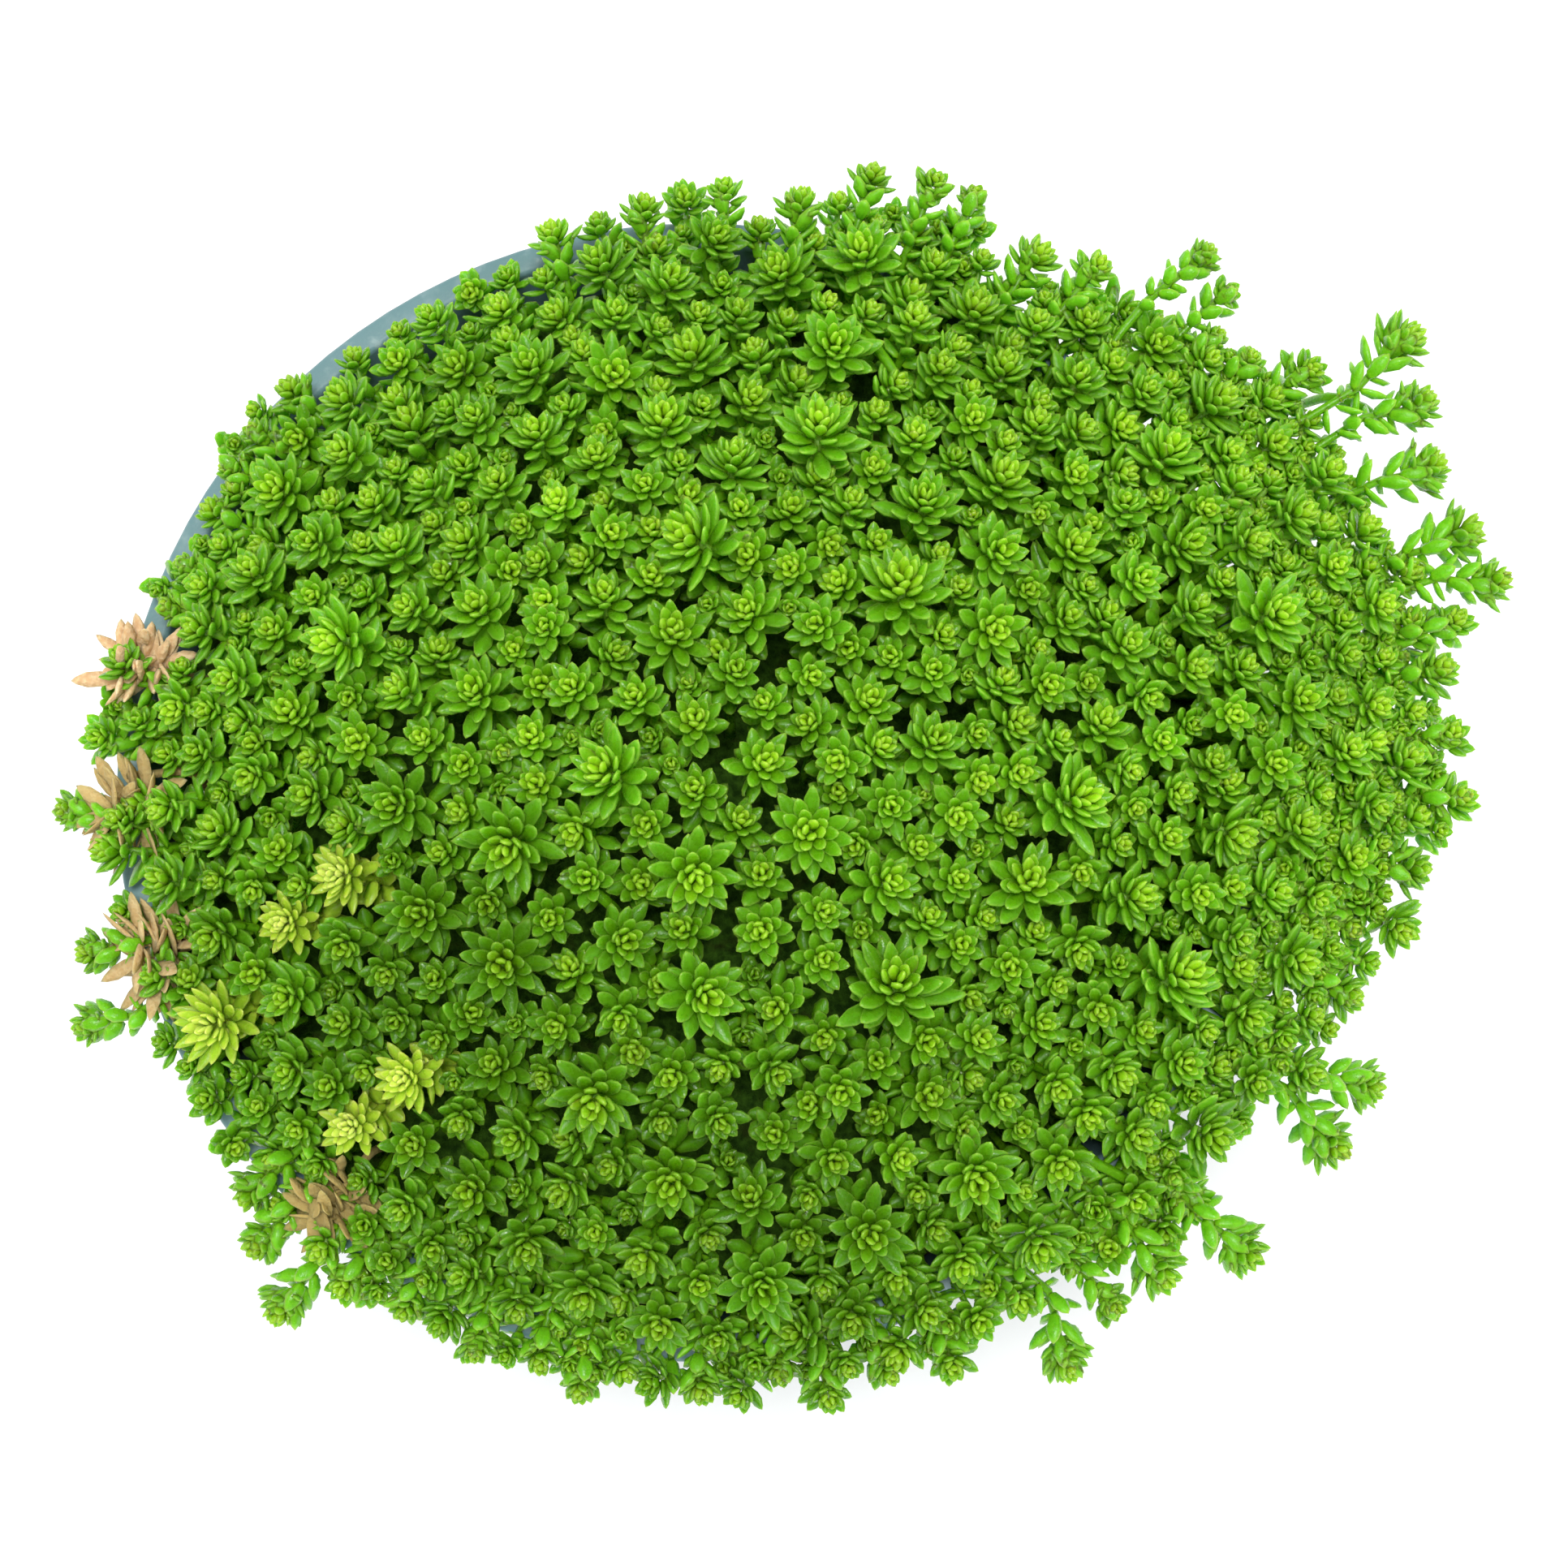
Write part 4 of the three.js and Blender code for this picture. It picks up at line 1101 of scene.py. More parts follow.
def stem_leaves(shoot, path, sizes, random):
    """The older leaves down a stem."""
    radius = shoot.radius
    distance = math.hypot(shoot.x, shoot.y)
    travelled = travel(path)
    bare = shoot.kind == "runner" and shoot.group in BARE_RUNNERS
    leafy, close, thinning, long, top, bottom = STEM_LEAVES["bare" if bare else habit(shoot)]
    if distance > reach_towards(shoot.x, shoot.y) - RIM_ZONE:
        leafy += RIM_LEAVES
    start = OLDER_START * radius
    step = np.arange(OLDER_MOST)
    down = start + close * (step + 0.6 + thinning * step * step)
    down = down[down < min(leafy, OLDER_ROOM * travelled[-1]) + start]
    count = len(down)
    step = step[:count]
    place = travelled[-1] - down
    foot = points_at(place, travelled, path)
    heading = points_at(place + 0.5, travelled, path) - foot
    heading /= np.maximum(np.linalg.norm(heading, axis=1, keepdims=True), 1e-9)
    share = step / max(1, count)
    jitter = random.uniform(-1, 1, (4, count))
    length = np.clip(long * radius, *OLDER_LENGTHS) * changing(share, *OLDER_SHORTER)
    length = length * (1 + LENGTH_LOOSE * jitter[1])
    opening = np.radians(changing(share, top, bottom - top) + OLDER_OPENING_LOOSE * jitter[0])
    width = sizes.leaf_width * changing(share, *OLDER_WIDTH)
    # Painted light that lifts the shade on the leaves down a stem, and more on those past the rim
    outer = OUTER_PAINTED_LIGHT if distance > RIM_RADIUS else 0.0
    tone = tone_of(shoot) + OLDER_TONE_LOOSE * jitter[3] + DEEP_PAINTED_LIGHT + outer
    turn = shoot.spin - GOLDEN_ANGLE * (step + 1) + TURN_LOOSE * jitter[2]
    age = changing(share, *OLDER_AGE)
    roll = ROLL_LOOSE * jitter[2]
    return leaf_table(foot, heading, turn, opening, length, width, OLDER_CURL, age, tone, roll)


def grow(growth, shoot, sizes, random):
    """One shoot: its stem, its rosette and its older leaves."""
    lean_over(shoot, random)
    stops = stem_stops(shoot)
    size = SMALL_STEM if shoot.kind in ("fill", "low") else 1.0
    radii = sizes.stem_radius * size * np.linspace(*STEM_TAPER, STEM_STEPS)
    path = smooth_path(stops, STEM_STEPS)
    add_stem(growth, path, radii, STEM_SLOT, STEM_AGE, painted_light_at(shoot.x, shoot.y))
    rosette = plan["plain"] if shoot.kind == "low" else plan["leaf"]
    rosette.copies(growth, rosette_leaves(shoot, sizes, random), LEAF_SLOT)
    older = stem_leaves(shoot, smooth_path(stops, FINE_STEPS), sizes, random)
    plan["plain"].copies(growth, older, LEAF_SLOT)


def grow_bare(growth, ends):
    """A bare stem that rises out of the tuft, shows between the rosettes and dips again."""
    x, y, far_x, far_y = ends
    stops = []
    for share, sink in BARE_DIPS:
        a, b = x + share * (far_x - x), y + share * (far_y - y)
        stops.append((a, b, dome_height(a, b) - BARE_DEPTH - sink))
    path = smooth_path(stops, BARE_STEPS)
    add_stem(growth, path, np.full(BARE_STEPS, BARE_RADIUS), STEM_SLOT, STEM_AGE, painted_light_at(x, y))


def owner_of(ends, tufts):
    """The tuft that has the shoot nearest to a bare stem's first end."""
    return min(tufts, key=lambda tuft: min(math.dist((s.x, s.y), ends[:2]) for s in tuft))


def select_points(piece, chosen):
    """Selects the points that a test picks in a mesh that is being edited."""
    bpy.ops.mesh.select_all(action="DESELECT")
    shape = bmesh.from_edit_mesh(piece.data)
    for vertex in shape.verts:
        vertex.select = chosen(vertex)
    shape.select_flush_mode()
    bmesh.update_edit_mesh(piece.data)


def model_leaf(profile, sides):
    """One fat blunt leaf, shaped ring by ring from a sphere and standing on its foot."""
    deselect_all()
    count = len(profile) - 1
    bpy.ops.mesh.primitive_uv_sphere_add(segments=sides, ring_count=count, radius=1.0)
    leaf = start_piece("leaf_model")
    bpy.ops.object.mode_set(mode="EDIT")
    rings = [math.cos(math.pi * (count - n) / count) for n in range(count + 1)]
    shape = bmesh.from_edit_mesh(leaf.data)
    levels = [[v.index for v in shape.verts if abs(v.co.z - height) < 1e-4] for height in rings]
    for level, height, (along, width, thickness) in zip(levels, rings, profile):
        select_points(leaf, lambda vertex: vertex.index in level)
        round_size = math.sqrt(1 - height * height)
        if round_size > 1e-3:
            share = (width / round_size, thickness / round_size, 1.0)
            bpy.ops.transform.resize(value=share, center_override=(0.0, 0.0, height))
        bpy.ops.transform.translate(value=(0.0, 0.0, along - height))
    select_points(leaf, lambda vertex: vertex.co.y > 0.1)
    bpy.ops.transform.resize(value=(1.0, LEAF_FLAT, 1.0), center_override=(0.0, 0.0, 0.0))
    bpy.ops.object.mode_set(mode="OBJECT")
    shape = LeafShape(leaf.data)
    bpy.data.objects.remove(leaf)
    return shape


# What the first step works out for the later ones: shoots and tufts, leaf shapes and the stems' finish
plan = {}


def sizes_of(context):
    return context.scene.stonecrop_sizes


def colours_of(context):
    return context.scene.stonecrop_colours


class STONECROP_OT_plan(bpy.types.Operator):
    """Place every shoot and model the leaf that they all carry"""

    bl_idname = "stonecrop.plan"
    bl_label = "Place shoots"

    def execute(self, context):
        shoots = place_shoots()
        fill = place_fill(shoots)
        fill += place_low(shoots + fill)
        plan.update(shoots=shoots, tufts=green_tufts(shoots, fill))
        plan.update(leaf=model_leaf(LEAF_PROFILE, FINE_SIDES), plain=model_leaf(PLAIN_PROFILE, PLAIN_SIDES))
        plan["stem"] = stem_finish(colours_of(context).stem)
        return {"FINISHED"}


class STONECROP_OT_green_tufts(bpy.types.Operator):
    """Grow the green tufts, runners and edge shoots included"""

    bl_idname = "stonecrop.green_tufts"
    bl_label = "Grow green tufts"

    def execute(self, context):
        colours = colours_of(context)
        green = leaf_finish("green_leaf", colours.bud, colours.leaf, colours.old_leaf)
        names = sorted(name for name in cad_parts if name.startswith("tuft_"))
        if len(names) != len(plan["tufts"]):
            raise RuntimeError(f"{len(names)} tufts in the frame and {len(plan['tufts'])} planned")
        for number, (name, tuft) in enumerate(zip(names, plan["tufts"])):
            random = np.random.default_rng(SEED + number)
            growth = Growth()
            for shoot in tuft:
                grow(growth, shoot, sizes_of(context), random)
            for ends in BARE_STEMS:
                if owner_of(ends, plan["tufts"]) is tuft:
                    grow_bare(growth, ends)
            settle_piece(growth.piece("leafy_" + name), "green_leaf", [name], green, plan["stem"])
        return {"FINISHED"}


class STONECROP_OT_yellow_tufts(bpy.types.Operator):
    """Grow the yellow tufts"""

    bl_idname = "stonecrop.yellow_tufts"
    bl_label = "Grow yellow tufts"

    def execute(self, context):
        colours = colours_of(context)
        yellow = leaf_finish("yellow_leaf", linear(206, 234, 100), colours.yellow, linear(158, 200, 46))
        for group in range(len(YELLOW_TUFTS)):
            random = np.random.default_rng(YELLOW_SEED + group)
            growth = Growth()
            for shoot in plan["shoots"]:
                if shoot.kind == "yellow" and shoot.group == group:
                    grow(growth, shoot, sizes_of(context), random)
            name = f"yellow_tuft_{group + 1:02d}"
            settle_piece(growth.piece("leafy_" + name), "yellow_leaf", [name], yellow, plan["stem"])
        return {"FINISHED"}


# Each withered shoot: how brown it is, how far it has slipped along the rim and outwards, and how much
# longer its leaves are than its radius
DRY_BROWN = (0.0, 0.8, 0.55, 1.0)
DRY_SHIFTS = (0.0, 4.5, -1.0, 0.0)
DRY_OUTWARDS = (1.6, 1.5, 1.0, 0.0)
DRY_SIZES = (0.98, 1.24, 1.4, 1.15)

# Their leaves: how many, how thick, how far over the stem and how far apart along the rim. Then their place
# on the stem, their opening in degrees and their length, as first value and change
DRY_COUNT = 42
DRY_THICKNESS = 0.3
DRY_RISE = 1.6
DRY_SPREAD = 2.2
DRY_PLACE = (1, -0.24)
DRY_OPENING = (62, 30)
DRY_LENGTH = (1.04, 0.08)

# What varies, as middle and spread, and how much the opening, the length and the roll vary
DRY_WIDTH = (2.3, 0.5)
DRY_CURL = (0.02, 0.26)
DRY_TONE = (0.5, 0.3)
DRY_OPENING_LOOSE = 14
DRY_LENGTH_LOOSE = 0.16
DRY_ROLL_LOOSE = 1.2

# Their stems
DRY_STEM_STEPS = 24
DRY_STEM_RADIUS = 0.6
DRY_STEM_AGE = 1.0
DRY_STEM_TONE = 0.3


def dry_leaves(shoot, path, random):
    """Broad papery leaves that hang from a withered shoot, crossed and curled."""
    step = np.arange(DRY_COUNT)
    share = step / DRY_COUNT
    jitter = random.uniform(-1, 1, (5, DRY_COUNT))
    place = changing(share, *DRY_PLACE) * (len(path) - 1)
    foot = points_at(place, np.arange(len(path)), path)
    foot[:, 2] += DRY_RISE
    bearing = math.atan2(shoot.y, shoot.x)
    shift = DRY_SHIFTS[shoot.group] + DRY_SPREAD * jitter[1]
    foot += np.outer(shift, (-math.sin(bearing), math.cos(bearing), 0.0))
    foot += DRY_OUTWARDS[shoot.group] * np.array((math.cos(bearing), math.sin(bearing), 0.0))
    opening = np.radians(changing(share, *DRY_OPENING) + DRY_OPENING_LOOSE * jitter[0])
    length = changing(share, *DRY_LENGTH) + DRY_LENGTH_LOOSE * jitter[1]
    length = shoot.radius * DRY_SIZES[shoot.group] * length
    width = changing(jitter[2], *DRY_WIDTH)
    curl = changing(jitter[3], *DRY_CURL)
    tone = changing(jitter[4], *DRY_TONE)
    turn = shoot.spin + GOLDEN_ANGLE * step
    age, roll = DRY_BROWN[shoot.group], DRY_ROLL_LOOSE * jitter[2]
    return leaf_table(foot, np.array(shoot.axis), turn, opening, length, width, curl, age, tone, roll)


class STONECROP_OT_withered_tufts(bpy.types.Operator):
    """Lay the withered shoots over the rim"""

    bl_idname = "stonecrop.withered_tufts"
    bl_label = "Lay withered tufts"

    def execute(self, context):
        dry = dry_finish(colours_of(context).dry)
        for shoot in plan["shoots"]:
            if shoot.kind != "withered":
                continue
            random = np.random.default_rng(DRY_SEED + shoot.group)
            growth = Growth()
            path = smooth_path(stem_stops(shoot), DRY_STEM_STEPS)
            radii = np.full(DRY_STEM_STEPS, DRY_STEM_RADIUS)
            add_stem(growth, path, radii, LEAF_SLOT, DRY_STEM_AGE, DRY_STEM_TONE)
            plan["leaf"].copies(growth, dry_leaves(shoot, path, random), LEAF_SLOT, DRY_THICKNESS)
            name = f"withered_tuft_{shoot.group + 1:02d}"
            settle_piece(growth.piece("dry_" + name), "withered_leaf", [name], dry)
        return {"FINISHED"}


# The pot's outline in turn: the foot, the wall, the collar, the rolled lip, the inside and the floor
BASE_RADIUS = 52.0
COLLAR_STEP = 2.2
COLLAR_HEIGHT = 15.0
COLLAR_TAPER = 0.8
LIP_ROUND = 0.9
FOOT_ROUND = 1.5
FLOOR_THICKNESS = 2.2
WALL = 1.6
POT_SIDES = 96
DRAIN_RADIUS = 4.5
DRAIN_CIRCLE = 36.0
DRAIN_COUNT = 6


def wall_radius(height):
    return BASE_RADIUS + (RIM_RADIUS - COLLAR_STEP - BASE_RADIUS) * height / POT_HEIGHT


def inside_radius(height):
    return wall_radius(height) - WALL


def rounded(centre, size, start, end, steps=5):
    """Points of a quarter turn round a centre, as (radius, height)."""
    angles = np.radians(np.linspace(start, end, steps))
    return [(centre[0] + size * math.cos(a), centre[1] + size * math.sin(a)) for a in angles]


def pot_outline():
    collar = POT_HEIGHT - COLLAR_HEIGHT
    low = RIM_RADIUS - COLLAR_TAPER
    inner = inside_radius(POT_HEIGHT)
    outline = [(BASE_RADIUS - 6.0, 0.0), (BASE_RADIUS - FOOT_ROUND, 0.0)]
    outline += rounded((wall_radius(FOOT_ROUND) - FOOT_ROUND, FOOT_ROUND), FOOT_ROUND, -70, 0, 4)
    outline += [(wall_radius(4.0), 4.0), (wall_radius(collar - 3.0), collar - 3.0)]
    outline += [(wall_radius(collar) + 0.15, collar - 0.6), (wall_radius(collar) + 0.7, collar)]
    outline += [(low - 0.5, collar), (low, collar + 0.5), (low + 0.08, collar + 1.6)]
    outline += [(RIM_RADIUS - 0.1, POT_HEIGHT - 3.0)]
    outline += rounded((RIM_RADIUS - LIP_ROUND, POT_HEIGHT - LIP_ROUND), LIP_ROUND, 0, 90)
    outline += rounded((inner + LIP_ROUND, POT_HEIGHT - LIP_ROUND), LIP_ROUND, 90, 180)
    outline += [(inside_radius(POT_HEIGHT - 5), POT_HEIGHT - 5), (inside_radius(60.0), 60.0)]
    outline += [(inside_radius(5.0), 5.0), (inside_radius(FLOOR_THICKNESS) - 1.2, FLOOR_THICKNESS)]
    return outline


def turn_outline(name, outline, sides):
    """A closed body raised from a disc by drawing its rim out along an outline of (radius, height)."""
    deselect_all()
    last_radius, last_height = outline[0]
    bpy.ops.mesh.primitive_circle_add(
        vertices=sides, radius=last_radius * MM, fill_type="NGON", location=(0, 0, last_height * MM)
    )
    piece = start_piece(name)
    bpy.ops.object.mode_set(mode="EDIT")
    bpy.ops.mesh.select_all(action="DESELECT")
    bpy.ops.mesh.select_mode(type="EDGE")
    shape = bmesh.from_edit_mesh(piece.data)
    for edge in shape.edges:
        edge.select = True
    bpy.ops.mesh.delete(type="ONLY_FACE")
    bpy.ops.mesh.select_all(action="SELECT")
    for radius, height in outline[1:]:
        rise = {"value": (0, 0, (height - last_height) * MM)}
        bpy.ops.mesh.extrude_edges_move(TRANSFORM_OT_translate=rise)
        share = radius / last_radius
        bpy.ops.transform.resize(value=(share, share, 1.0), center_override=(0.0, 0.0, height * MM))
        last_radius, last_height = radius, height
    bpy.ops.mesh.edge_face_add()
    bpy.ops.mesh.select_all(action="DESELECT")
    shape = bmesh.from_edit_mesh(piece.data)
    for edge in shape.edges:
        edge.select = edge.is_boundary
    shape.select_flush_mode()
    bmesh.update_edit_mesh(piece.data)
    bpy.ops.mesh.edge_face_add()
    bpy.ops.mesh.select_all(action="SELECT")
    bpy.ops.mesh.normals_make_consistent(inside=False)
    bpy.ops.object.mode_set(mode="OBJECT")
    return piece


def cut_away(piece, cutter):
    """Cuts one object's space from another's."""
    select_only(piece)
    cut = piece.modifiers.new("cut", "BOOLEAN")
    cut.operation = "DIFFERENCE"
    cut.solver = "EXACT"
    cut.object = cutter
    bpy.ops.object.modifier_apply(modifier=cut.name)
    bpy.data.objects.remove(cutter)


def pot_finish(plastic):
    """Moulded plastic: satin, faintly mottled, chalky with dried water near the rim, dirty at its foot."""
    finish = Finish("pot_plastic", specular_ior_level=0.45)
    height = finish.node("ShaderNodeSeparateXYZ", None, {0: finish.place()}, output="Z")
    broad, grain = finish.noise(60.0, 3.0), finish.noise(2600.0, 2.0)
    drawn_out = finish.node("ShaderNodeMapping", None, {0: finish.place(), 3: (1.0, 1.0, 0.06)})
    runs = finish.noise(330.0, 4.0, drawn_out).between(0.5, 0.75)
    chalk = finish.noise(420.0, 6.0).between(0.52, 0.74) * height.between(0.094, 0.11)
    scuffs = finish.noise(420.0, 6.0).between(0.62, 0.7)
    dirt = finish.noise(120.0, 5.0).between(0.5, 0.66) * height.between(0.03, 0.0)
    colour = finish.layers(
        plastic,
        (linear(103, 138, 141), broad.between(0.35, 0.65)),
        (linear(150, 172, 172), runs * 0.3),
        (linear(186, 202, 200), chalk * 0.3),
        (linear(158, 180, 180), scuffs * 0.25),
        (linear(98, 84, 66), dirt * 0.5),
    )
    return finish.surface(colour, 0.36 + 0.18 * broad + 0.2 * chalk, grain + 0.6 * scuffs, 0.05)


class STONECROP_OT_pot(bpy.types.Operator):
    """Mould the nursery pot with its collar, rolled lip and drainage holes"""

    bl_idname = "stonecrop.pot"
    bl_label = "Mould pot"

    def execute(self, context):
        piece = turn_outline("nursery_pot", pot_outline(), POT_SIDES)
        for i in range(DRAIN_COUNT):
            angle = 2 * math.pi * i / DRAIN_COUNT
            deselect_all()
            bpy.ops.mesh.primitive_cylinder_add(
                vertices=32, radius=DRAIN_RADIUS * MM, depth=8 * MM,
                location=(DRAIN_CIRCLE * math.cos(angle) * MM, DRAIN_CIRCLE * math.sin(angle) * MM, 0),
            )
            cut_away(piece, start_piece("drain"))
        select_only(piece)
        bpy.ops.object.shade_smooth_by_angle(angle=math.radians(35))
        settle_piece(piece, "pot", ["pot"], pot_finish(colours_of(context).pot))
        return {"FINISHED"}


def soil_finish(soil):
    """Damp potting mix: dark, crumbly, with paler bits of bark and grit."""
    finish = Finish("potting_mix")
    crumbs = finish.noise(420.0, 8.0)
    bark = finish.noise(260.0, 3.0).between(0.56, 0.64)
    grit = finish.noise(900.0, 2.0).between(0.68, 0.74)
    colour = finish.layers(
        [0.45 * c for c in soil],
        (soil, crumbs.between(0.3, 0.7)),
        (linear(112, 78, 50), bark * 0.6),
        (linear(196, 190, 178), grit * 0.6),
    )
    return finish.surface(colour, 0.82 + 0.14 * crumbs, crumbs, 1.2)


# The soil's surface: its waves' count, height, closeness and shift, its roughness, and how far from its edge
# that ends. Then the crumbs on it: how many, how far from the edge, and how large
SOIL_RINGS = 26
SOIL_SIDES = 96
WAVE_COUNT = 9
WAVE_HEIGHT = 0.35
WAVE_CLOSENESS = (0.1, 0.9)
WAVE_SHIFT = (0, 6)
SOIL_ROUGHNESS = 0.35
SOIL_EDGE = 2.5
CRUMB_COUNT = 320
CRUMB_EDGE = 4
CRUMB_SIZE = (0.5, 1.3)


def soil_top(x, y, waves):
    """The soil's uneven surface, as an offset from its level."""
    return sum(a * math.sin(k * x + p) * math.cos(l * y + q) for a, k, l, p, q in waves)


class STONECROP_OT_soil(bpy.types.Operator):
    """Fill the pot with potting mix, with crumbs on top"""

    bl_idname = "stonecrop.soil"
    bl_label = "Fill soil"

    def execute(self, context):
        low = FLOOR_THICKNESS + CLEARANCE
        top_radius = inside_radius(SOIL_HEIGHT) - CLEARANCE
        low_radius = inside_radius(low) - CLEARANCE
        outline = [(1.0, low), (low_radius * 0.5, low), (low_radius - 1.5, low), (low_radius, low + 1.0)]
        outline += [(inside_radius(50.0) - CLEARANCE, 50.0), (top_radius - 0.2, SOIL_HEIGHT - 1.5)]
        outline += [(top_radius * (1 - n / SOIL_RINGS) + 0.6, SOIL_HEIGHT) for n in range(SOIL_RINGS)]
        piece = turn_outline("potting_soil", outline, SOIL_SIDES)
        random = np.random.default_rng(SOIL_SEED)
        waves = []
        for _ in range(WAVE_COUNT):
            waves.append((WAVE_HEIGHT, *random.uniform(*WAVE_CLOSENESS, 2), *random.uniform(*WAVE_SHIFT, 2)))
        for vertex in piece.data.vertices:
            x, y, z = (c / MM for c in vertex.co)
            if z > SOIL_HEIGHT - 0.5 and math.hypot(x, y) < top_radius - SOIL_EDGE:
                rough = random.uniform(-SOIL_ROUGHNESS, SOIL_ROUGHNESS)
                vertex.co.z += (soil_top(x, y, waves) + rough) * MM
        select_only(piece, crumbs(random, top_radius - CRUMB_EDGE, waves))
        bpy.ops.object.join()
        bpy.ops.object.shade_smooth_by_angle(angle=math.radians(50))
        settle_piece(piece, "soil", ["soil"], soil_finish(colours_of(context).soil))
        return {"FINISHED"}


def crumbs(random, reach, waves):
    """Bits of bark and grit that lie on the soil."""
    deselect_all()
    bpy.ops.mesh.primitive_ico_sphere_add(subdivisions=1, radius=1.0)
    model = start_piece("crumb_model")
    points = np.array([v.co for v in model.data.vertices])
    faces = np.array([p.vertices for p in model.data.polygons])
    bpy.data.objects.remove(model)
    growth = Growth()
    for _ in range(CRUMB_COUNT):
        distance, angle = reach * math.sqrt(random.uniform()), random.uniform(0, 2 * math.pi)
        x, y = distance * math.cos(angle), distance * math.sin(angle)
        size = random.uniform(*CRUMB_SIZE)
        size = size * np.array([1.0, random.uniform(0.5, 0.9), random.uniform(0.4, 0.8)])
        turn = random.uniform(0, math.pi)
        shaped = points * (1 + random.uniform(-0.2, 0.2, (len(points), 1))) * size
        across = shaped[:, 0] * math.cos(turn) - shaped[:, 1] * math.sin(turn)
        up = shaped[:, 0] * math.sin(turn) + shaped[:, 1] * math.cos(turn)
        placed = np.stack([x + across, y + up, shaped[:, 2] + SOIL_HEIGHT + soil_top(x, y, waves)], 1)
        growth.add(placed, faces.ravel(), np.arange(len(faces)) * 3, 0, 0.0, 0.0, 0.5, 0.0)
    return growth.piece("crumbs")


# The crowd of bare stems and dead leaves under the rosettes, as a mound on the soil, dark partly with painted
# shade: how far it stays under the dome, how wide its falling edge is and how steeply that starts, and how
# rough it is
LITTER_DEPTH = 8.8
LITTER_RADIUS = 69.0
LITTER_RINGS = 40
LITTER_SIDES = 120
LITTER_EDGE = 9.0
LITTER_FALL = 0.6
LITTER_ROUGHNESS = 0.8
LITTER_SKIRT = 3.0


def litter_and_shade_finish():
    """Dead leaves and bare stems, tangled, their dark green partly painted shade of the gaps between
    rosettes.
    """
    finish = Finish("litter_and_painted_shade", specular_ior_level=0.1)
    strands = finish.noise(700.0, 6.0)
    bits = finish.noise(330.0, 3.0).between(0.55, 0.68)
    # Dark greens, partly painted shade of the gaps between the rosettes
    colour = finish.layers(
        linear(40, 72, 18),
        (linear(78, 122, 34), strands.between(0.3, 0.7)),
        (linear(70, 70, 30), bits * 0.4),
    )
    return finish.surface(colour, 0.85 + 0.1 * strands, strands, 1.5)


class STONECROP_OT_litter(bpy.types.Operator):
    """Heap the crowd of stems and dead leaves under the rosettes, dark partly with painted shade"""

    bl_idname = "stonecrop.litter"
    bl_label = "Heap litter"

    def execute(self, context):
        base = SOIL_HEIGHT - 1.0
        outline = [(1.0, base), (LITTER_RADIUS, base), (LITTER_RADIUS + 0.4, base + 1.0)]
        outline += [(LITTER_RADIUS * (1 - n / LITTER_RINGS) + 0.5, base + 6.0) for n in range(LITTER_RINGS)]
        piece = turn_outline("stem_litter", outline, LITTER_SIDES)
        random = np.random.default_rng(LITTER_SEED)
        for vertex in piece.data.vertices:
            x, y, z = (c / MM for c in vertex.co)
            if z > base + LITTER_SKIRT:
                edge = (LITTER_RADIUS + 0.8 - math.hypot(x, y)) / LITTER_EDGE
                rise = min(1.0, max(0.0, edge)) ** LITTER_FALL
                crown = dome_height(x, y) - LITTER_DEPTH - base - LITTER_SKIRT
                rough = random.uniform(-LITTER_ROUGHNESS, LITTER_ROUGHNESS)
                vertex.co.z = (base + LITTER_SKIRT + crown * rise + rough) * MM
        select_only(piece)
        bpy.ops.object.shade_smooth()
        settle_piece(piece, "green_leaf", [], litter_and_shade_finish())
        return {"FINISHED"}


# The photograph's view: the point looked at in millimetres, the camera's place from it, and its lens
VIEW_TARGET = (11.7, -2.0, 110.0)
VIEW_ELEVATION = 80.0
VIEW_DISTANCE = 330.0
VIEW_WIDTH_ANGLE = 34.6
SENSOR = 36.0
CLIP_START = 0.01

# The key light and the floor, in metres. The floor is a little under the pot, so that the two don't meet
KEY_PLACE = (0.03, 0.0, 1.25)
KEY_SIZE = 0.3
FLOOR_SIZE = 6.0
FLOOR_LEVEL = -0.0003


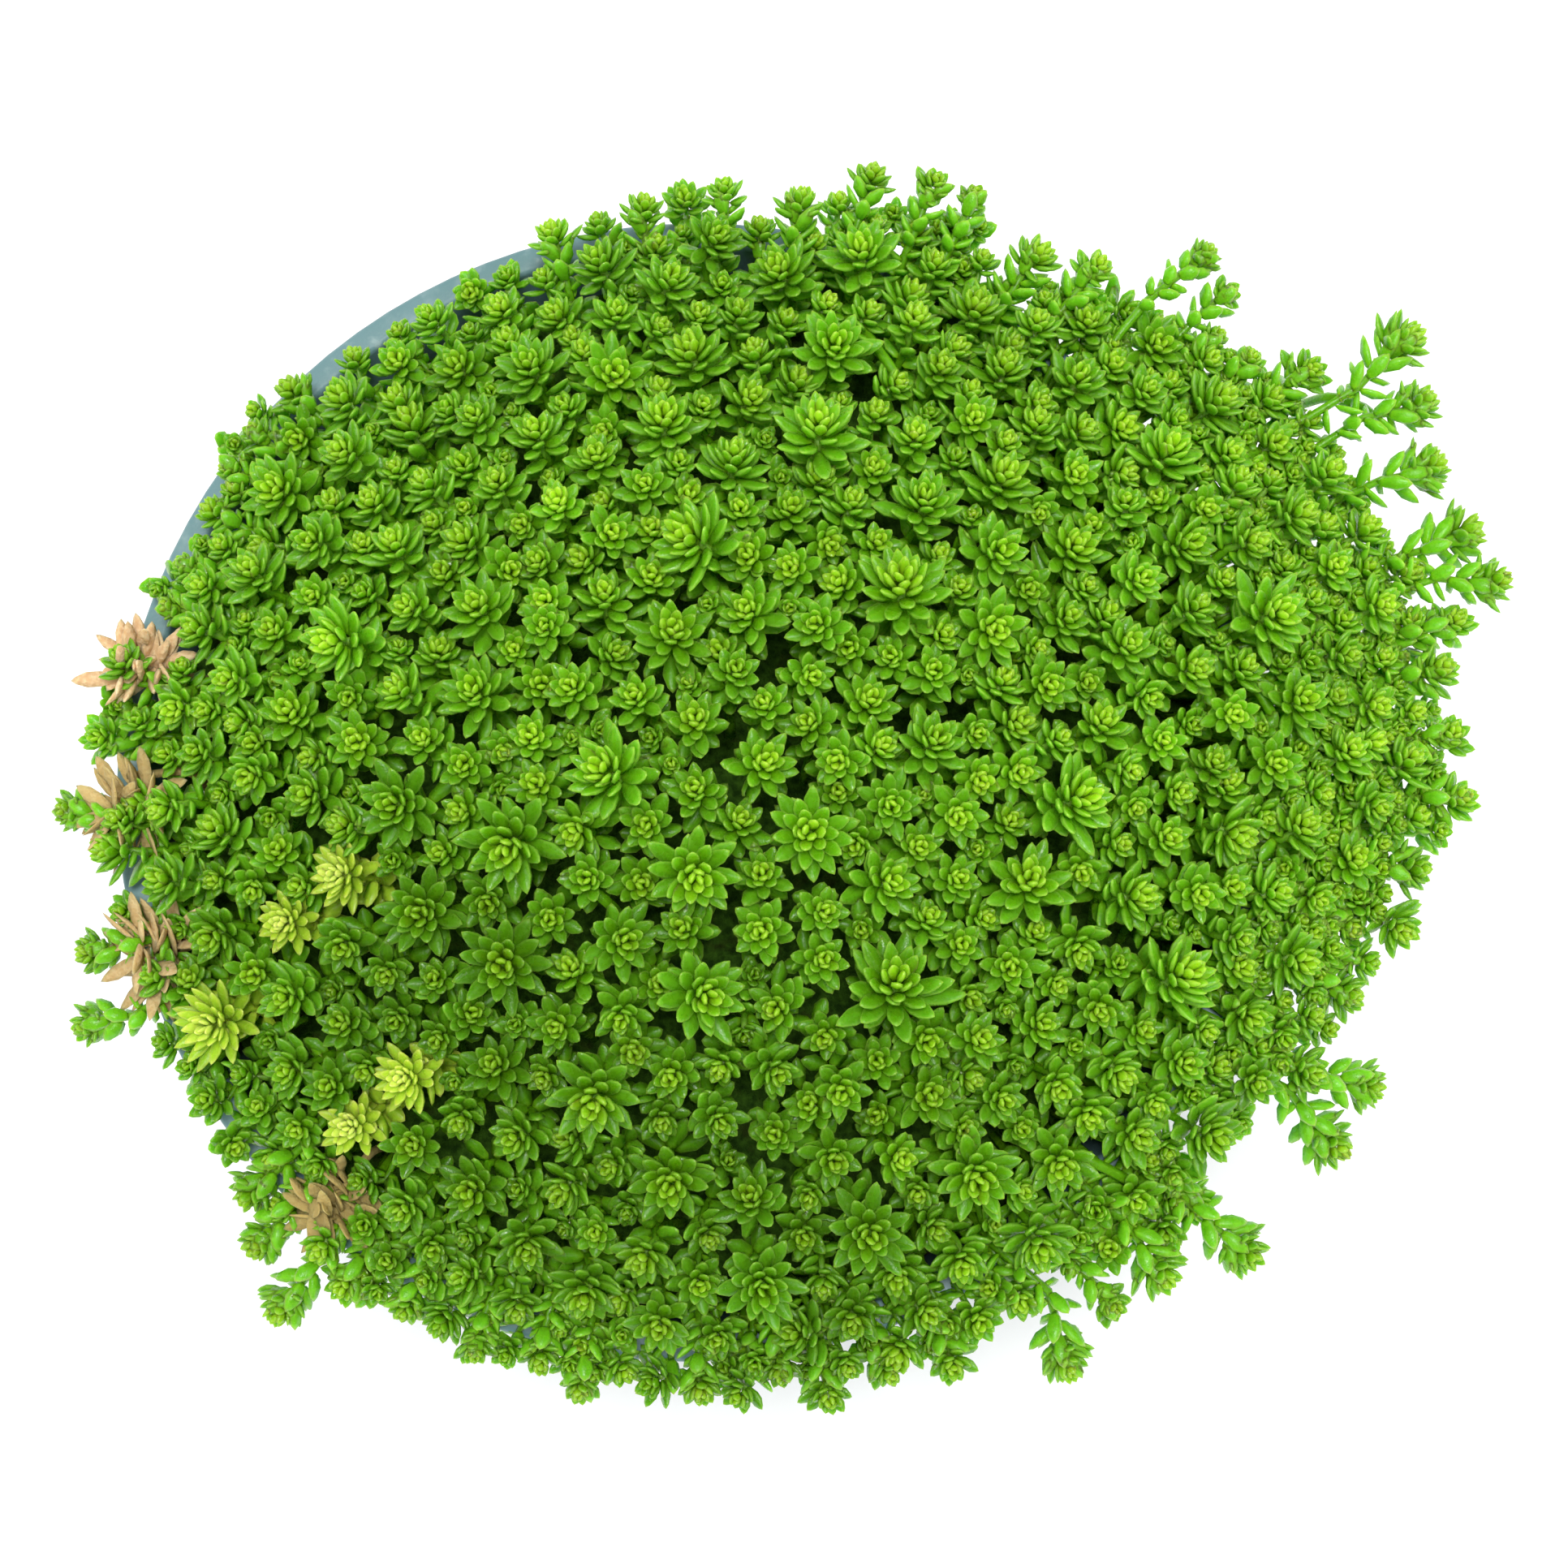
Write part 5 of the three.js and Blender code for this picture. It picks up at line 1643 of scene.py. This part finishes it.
class STONECROP_OT_stage(bpy.types.Operator):
    """Set the floor, the sky, the key light and the camera"""

    bl_idname = "stonecrop.stage"
    bl_label = "Set stage"

    def execute(self, context):
        stage = context.scene.stonecrop_stage
        deselect_all()
        bpy.ops.mesh.primitive_plane_add(size=FLOOR_SIZE, location=(0, 0, FLOOR_LEVEL))
        floor = start_piece("floor")
        finish = Finish("floor_paper", roughness=0.7)
        paper = finish.noise(8.0, 2.0)
        colour = finish.mix([0.99 * c for c in stage.floor], stage.floor, paper)
        floor.data.materials.append(finish.surface(colour, 0.65 + 0.1 * paper, paper, 0.01))
        world = bpy.data.worlds.new("soft_sky")
        world.use_nodes = True
        background = world.node_tree.nodes["Background"]
        background.inputs["Color"].default_value = (1.0, 1.0, 1.0, 1.0)
        background.inputs["Strength"].default_value = stage.sky
        context.scene.world = world
        world.cycles_visibility.glossy = False
        bpy.ops.object.light_add(type="AREA", location=KEY_PLACE)
        key = start_piece("key_light")
        key.data.shape = "DISK"
        key.data.size = KEY_SIZE
        key.data.energy = stage.key
        aim = Vector(VIEW_TARGET) * MM - Vector(KEY_PLACE)
        key.rotation_euler = aim.to_track_quat("-Z", "Y").to_euler()
        slope = math.radians(VIEW_ELEVATION)
        back = Vector((0, -math.cos(slope), math.sin(slope)))
        camera_data = bpy.data.cameras.new("camera")
        camera = bpy.data.objects.new("camera", camera_data)
        context.scene.collection.objects.link(camera)
        camera.location = (Vector(VIEW_TARGET) + back * VIEW_DISTANCE) * MM
        camera.rotation_euler = (-back).to_track_quat("-Z", "Y").to_euler()
        camera_data.sensor_width = SENSOR
        camera_data.lens = SENSOR / 2 / math.tan(math.radians(VIEW_WIDTH_ANGLE / 2))
        camera_data.clip_start = CLIP_START
        context.scene.camera = camera
        context.scene.view_settings.view_transform = "Standard"
        return {"FINISHED"}


STEPS = (
    STONECROP_OT_plan,
    STONECROP_OT_pot,
    STONECROP_OT_soil,
    STONECROP_OT_litter,
    STONECROP_OT_green_tufts,
    STONECROP_OT_yellow_tufts,
    STONECROP_OT_withered_tufts,
    STONECROP_OT_stage,
)


class STONECROP_PT_panel(bpy.types.Panel):
    """The plant's sizes, colours and steps"""

    bl_label = "Stonecrop"
    bl_idname = "STONECROP_PT_panel"
    bl_space_type = "VIEW_3D"
    bl_region_type = "UI"
    bl_category = "Stonecrop"

    def draw(self, context):
        scene = context.scene
        for group in (scene.stonecrop_sizes, scene.stonecrop_colours, scene.stonecrop_stage):
            column = self.layout.column(align=True)
            for name in group.__annotations__:
                column.prop(group, name)
        for step in STEPS:
            self.layout.operator(step.bl_idname)


GROUPS = (StonecropSizes, StonecropColours, StonecropStage)


def register():
    for kind in (*GROUPS, *STEPS, STONECROP_PT_panel):
        bpy.utils.register_class(kind)
    bpy.types.Scene.stonecrop_sizes = PointerProperty(type=StonecropSizes)
    bpy.types.Scene.stonecrop_colours = PointerProperty(type=StonecropColours)
    bpy.types.Scene.stonecrop_stage = PointerProperty(type=StonecropStage)


def unregister():
    del bpy.types.Scene.stonecrop_sizes
    del bpy.types.Scene.stonecrop_colours
    del bpy.types.Scene.stonecrop_stage
    for kind in reversed((*GROUPS, *STEPS, STONECROP_PT_panel)):
        bpy.utils.unregister_class(kind)


def main():
    register()
    for step in STEPS:
        group, name = step.bl_idname.split(".")
        getattr(getattr(bpy.ops, group), name)()


if __name__ == "__main__":
    main()
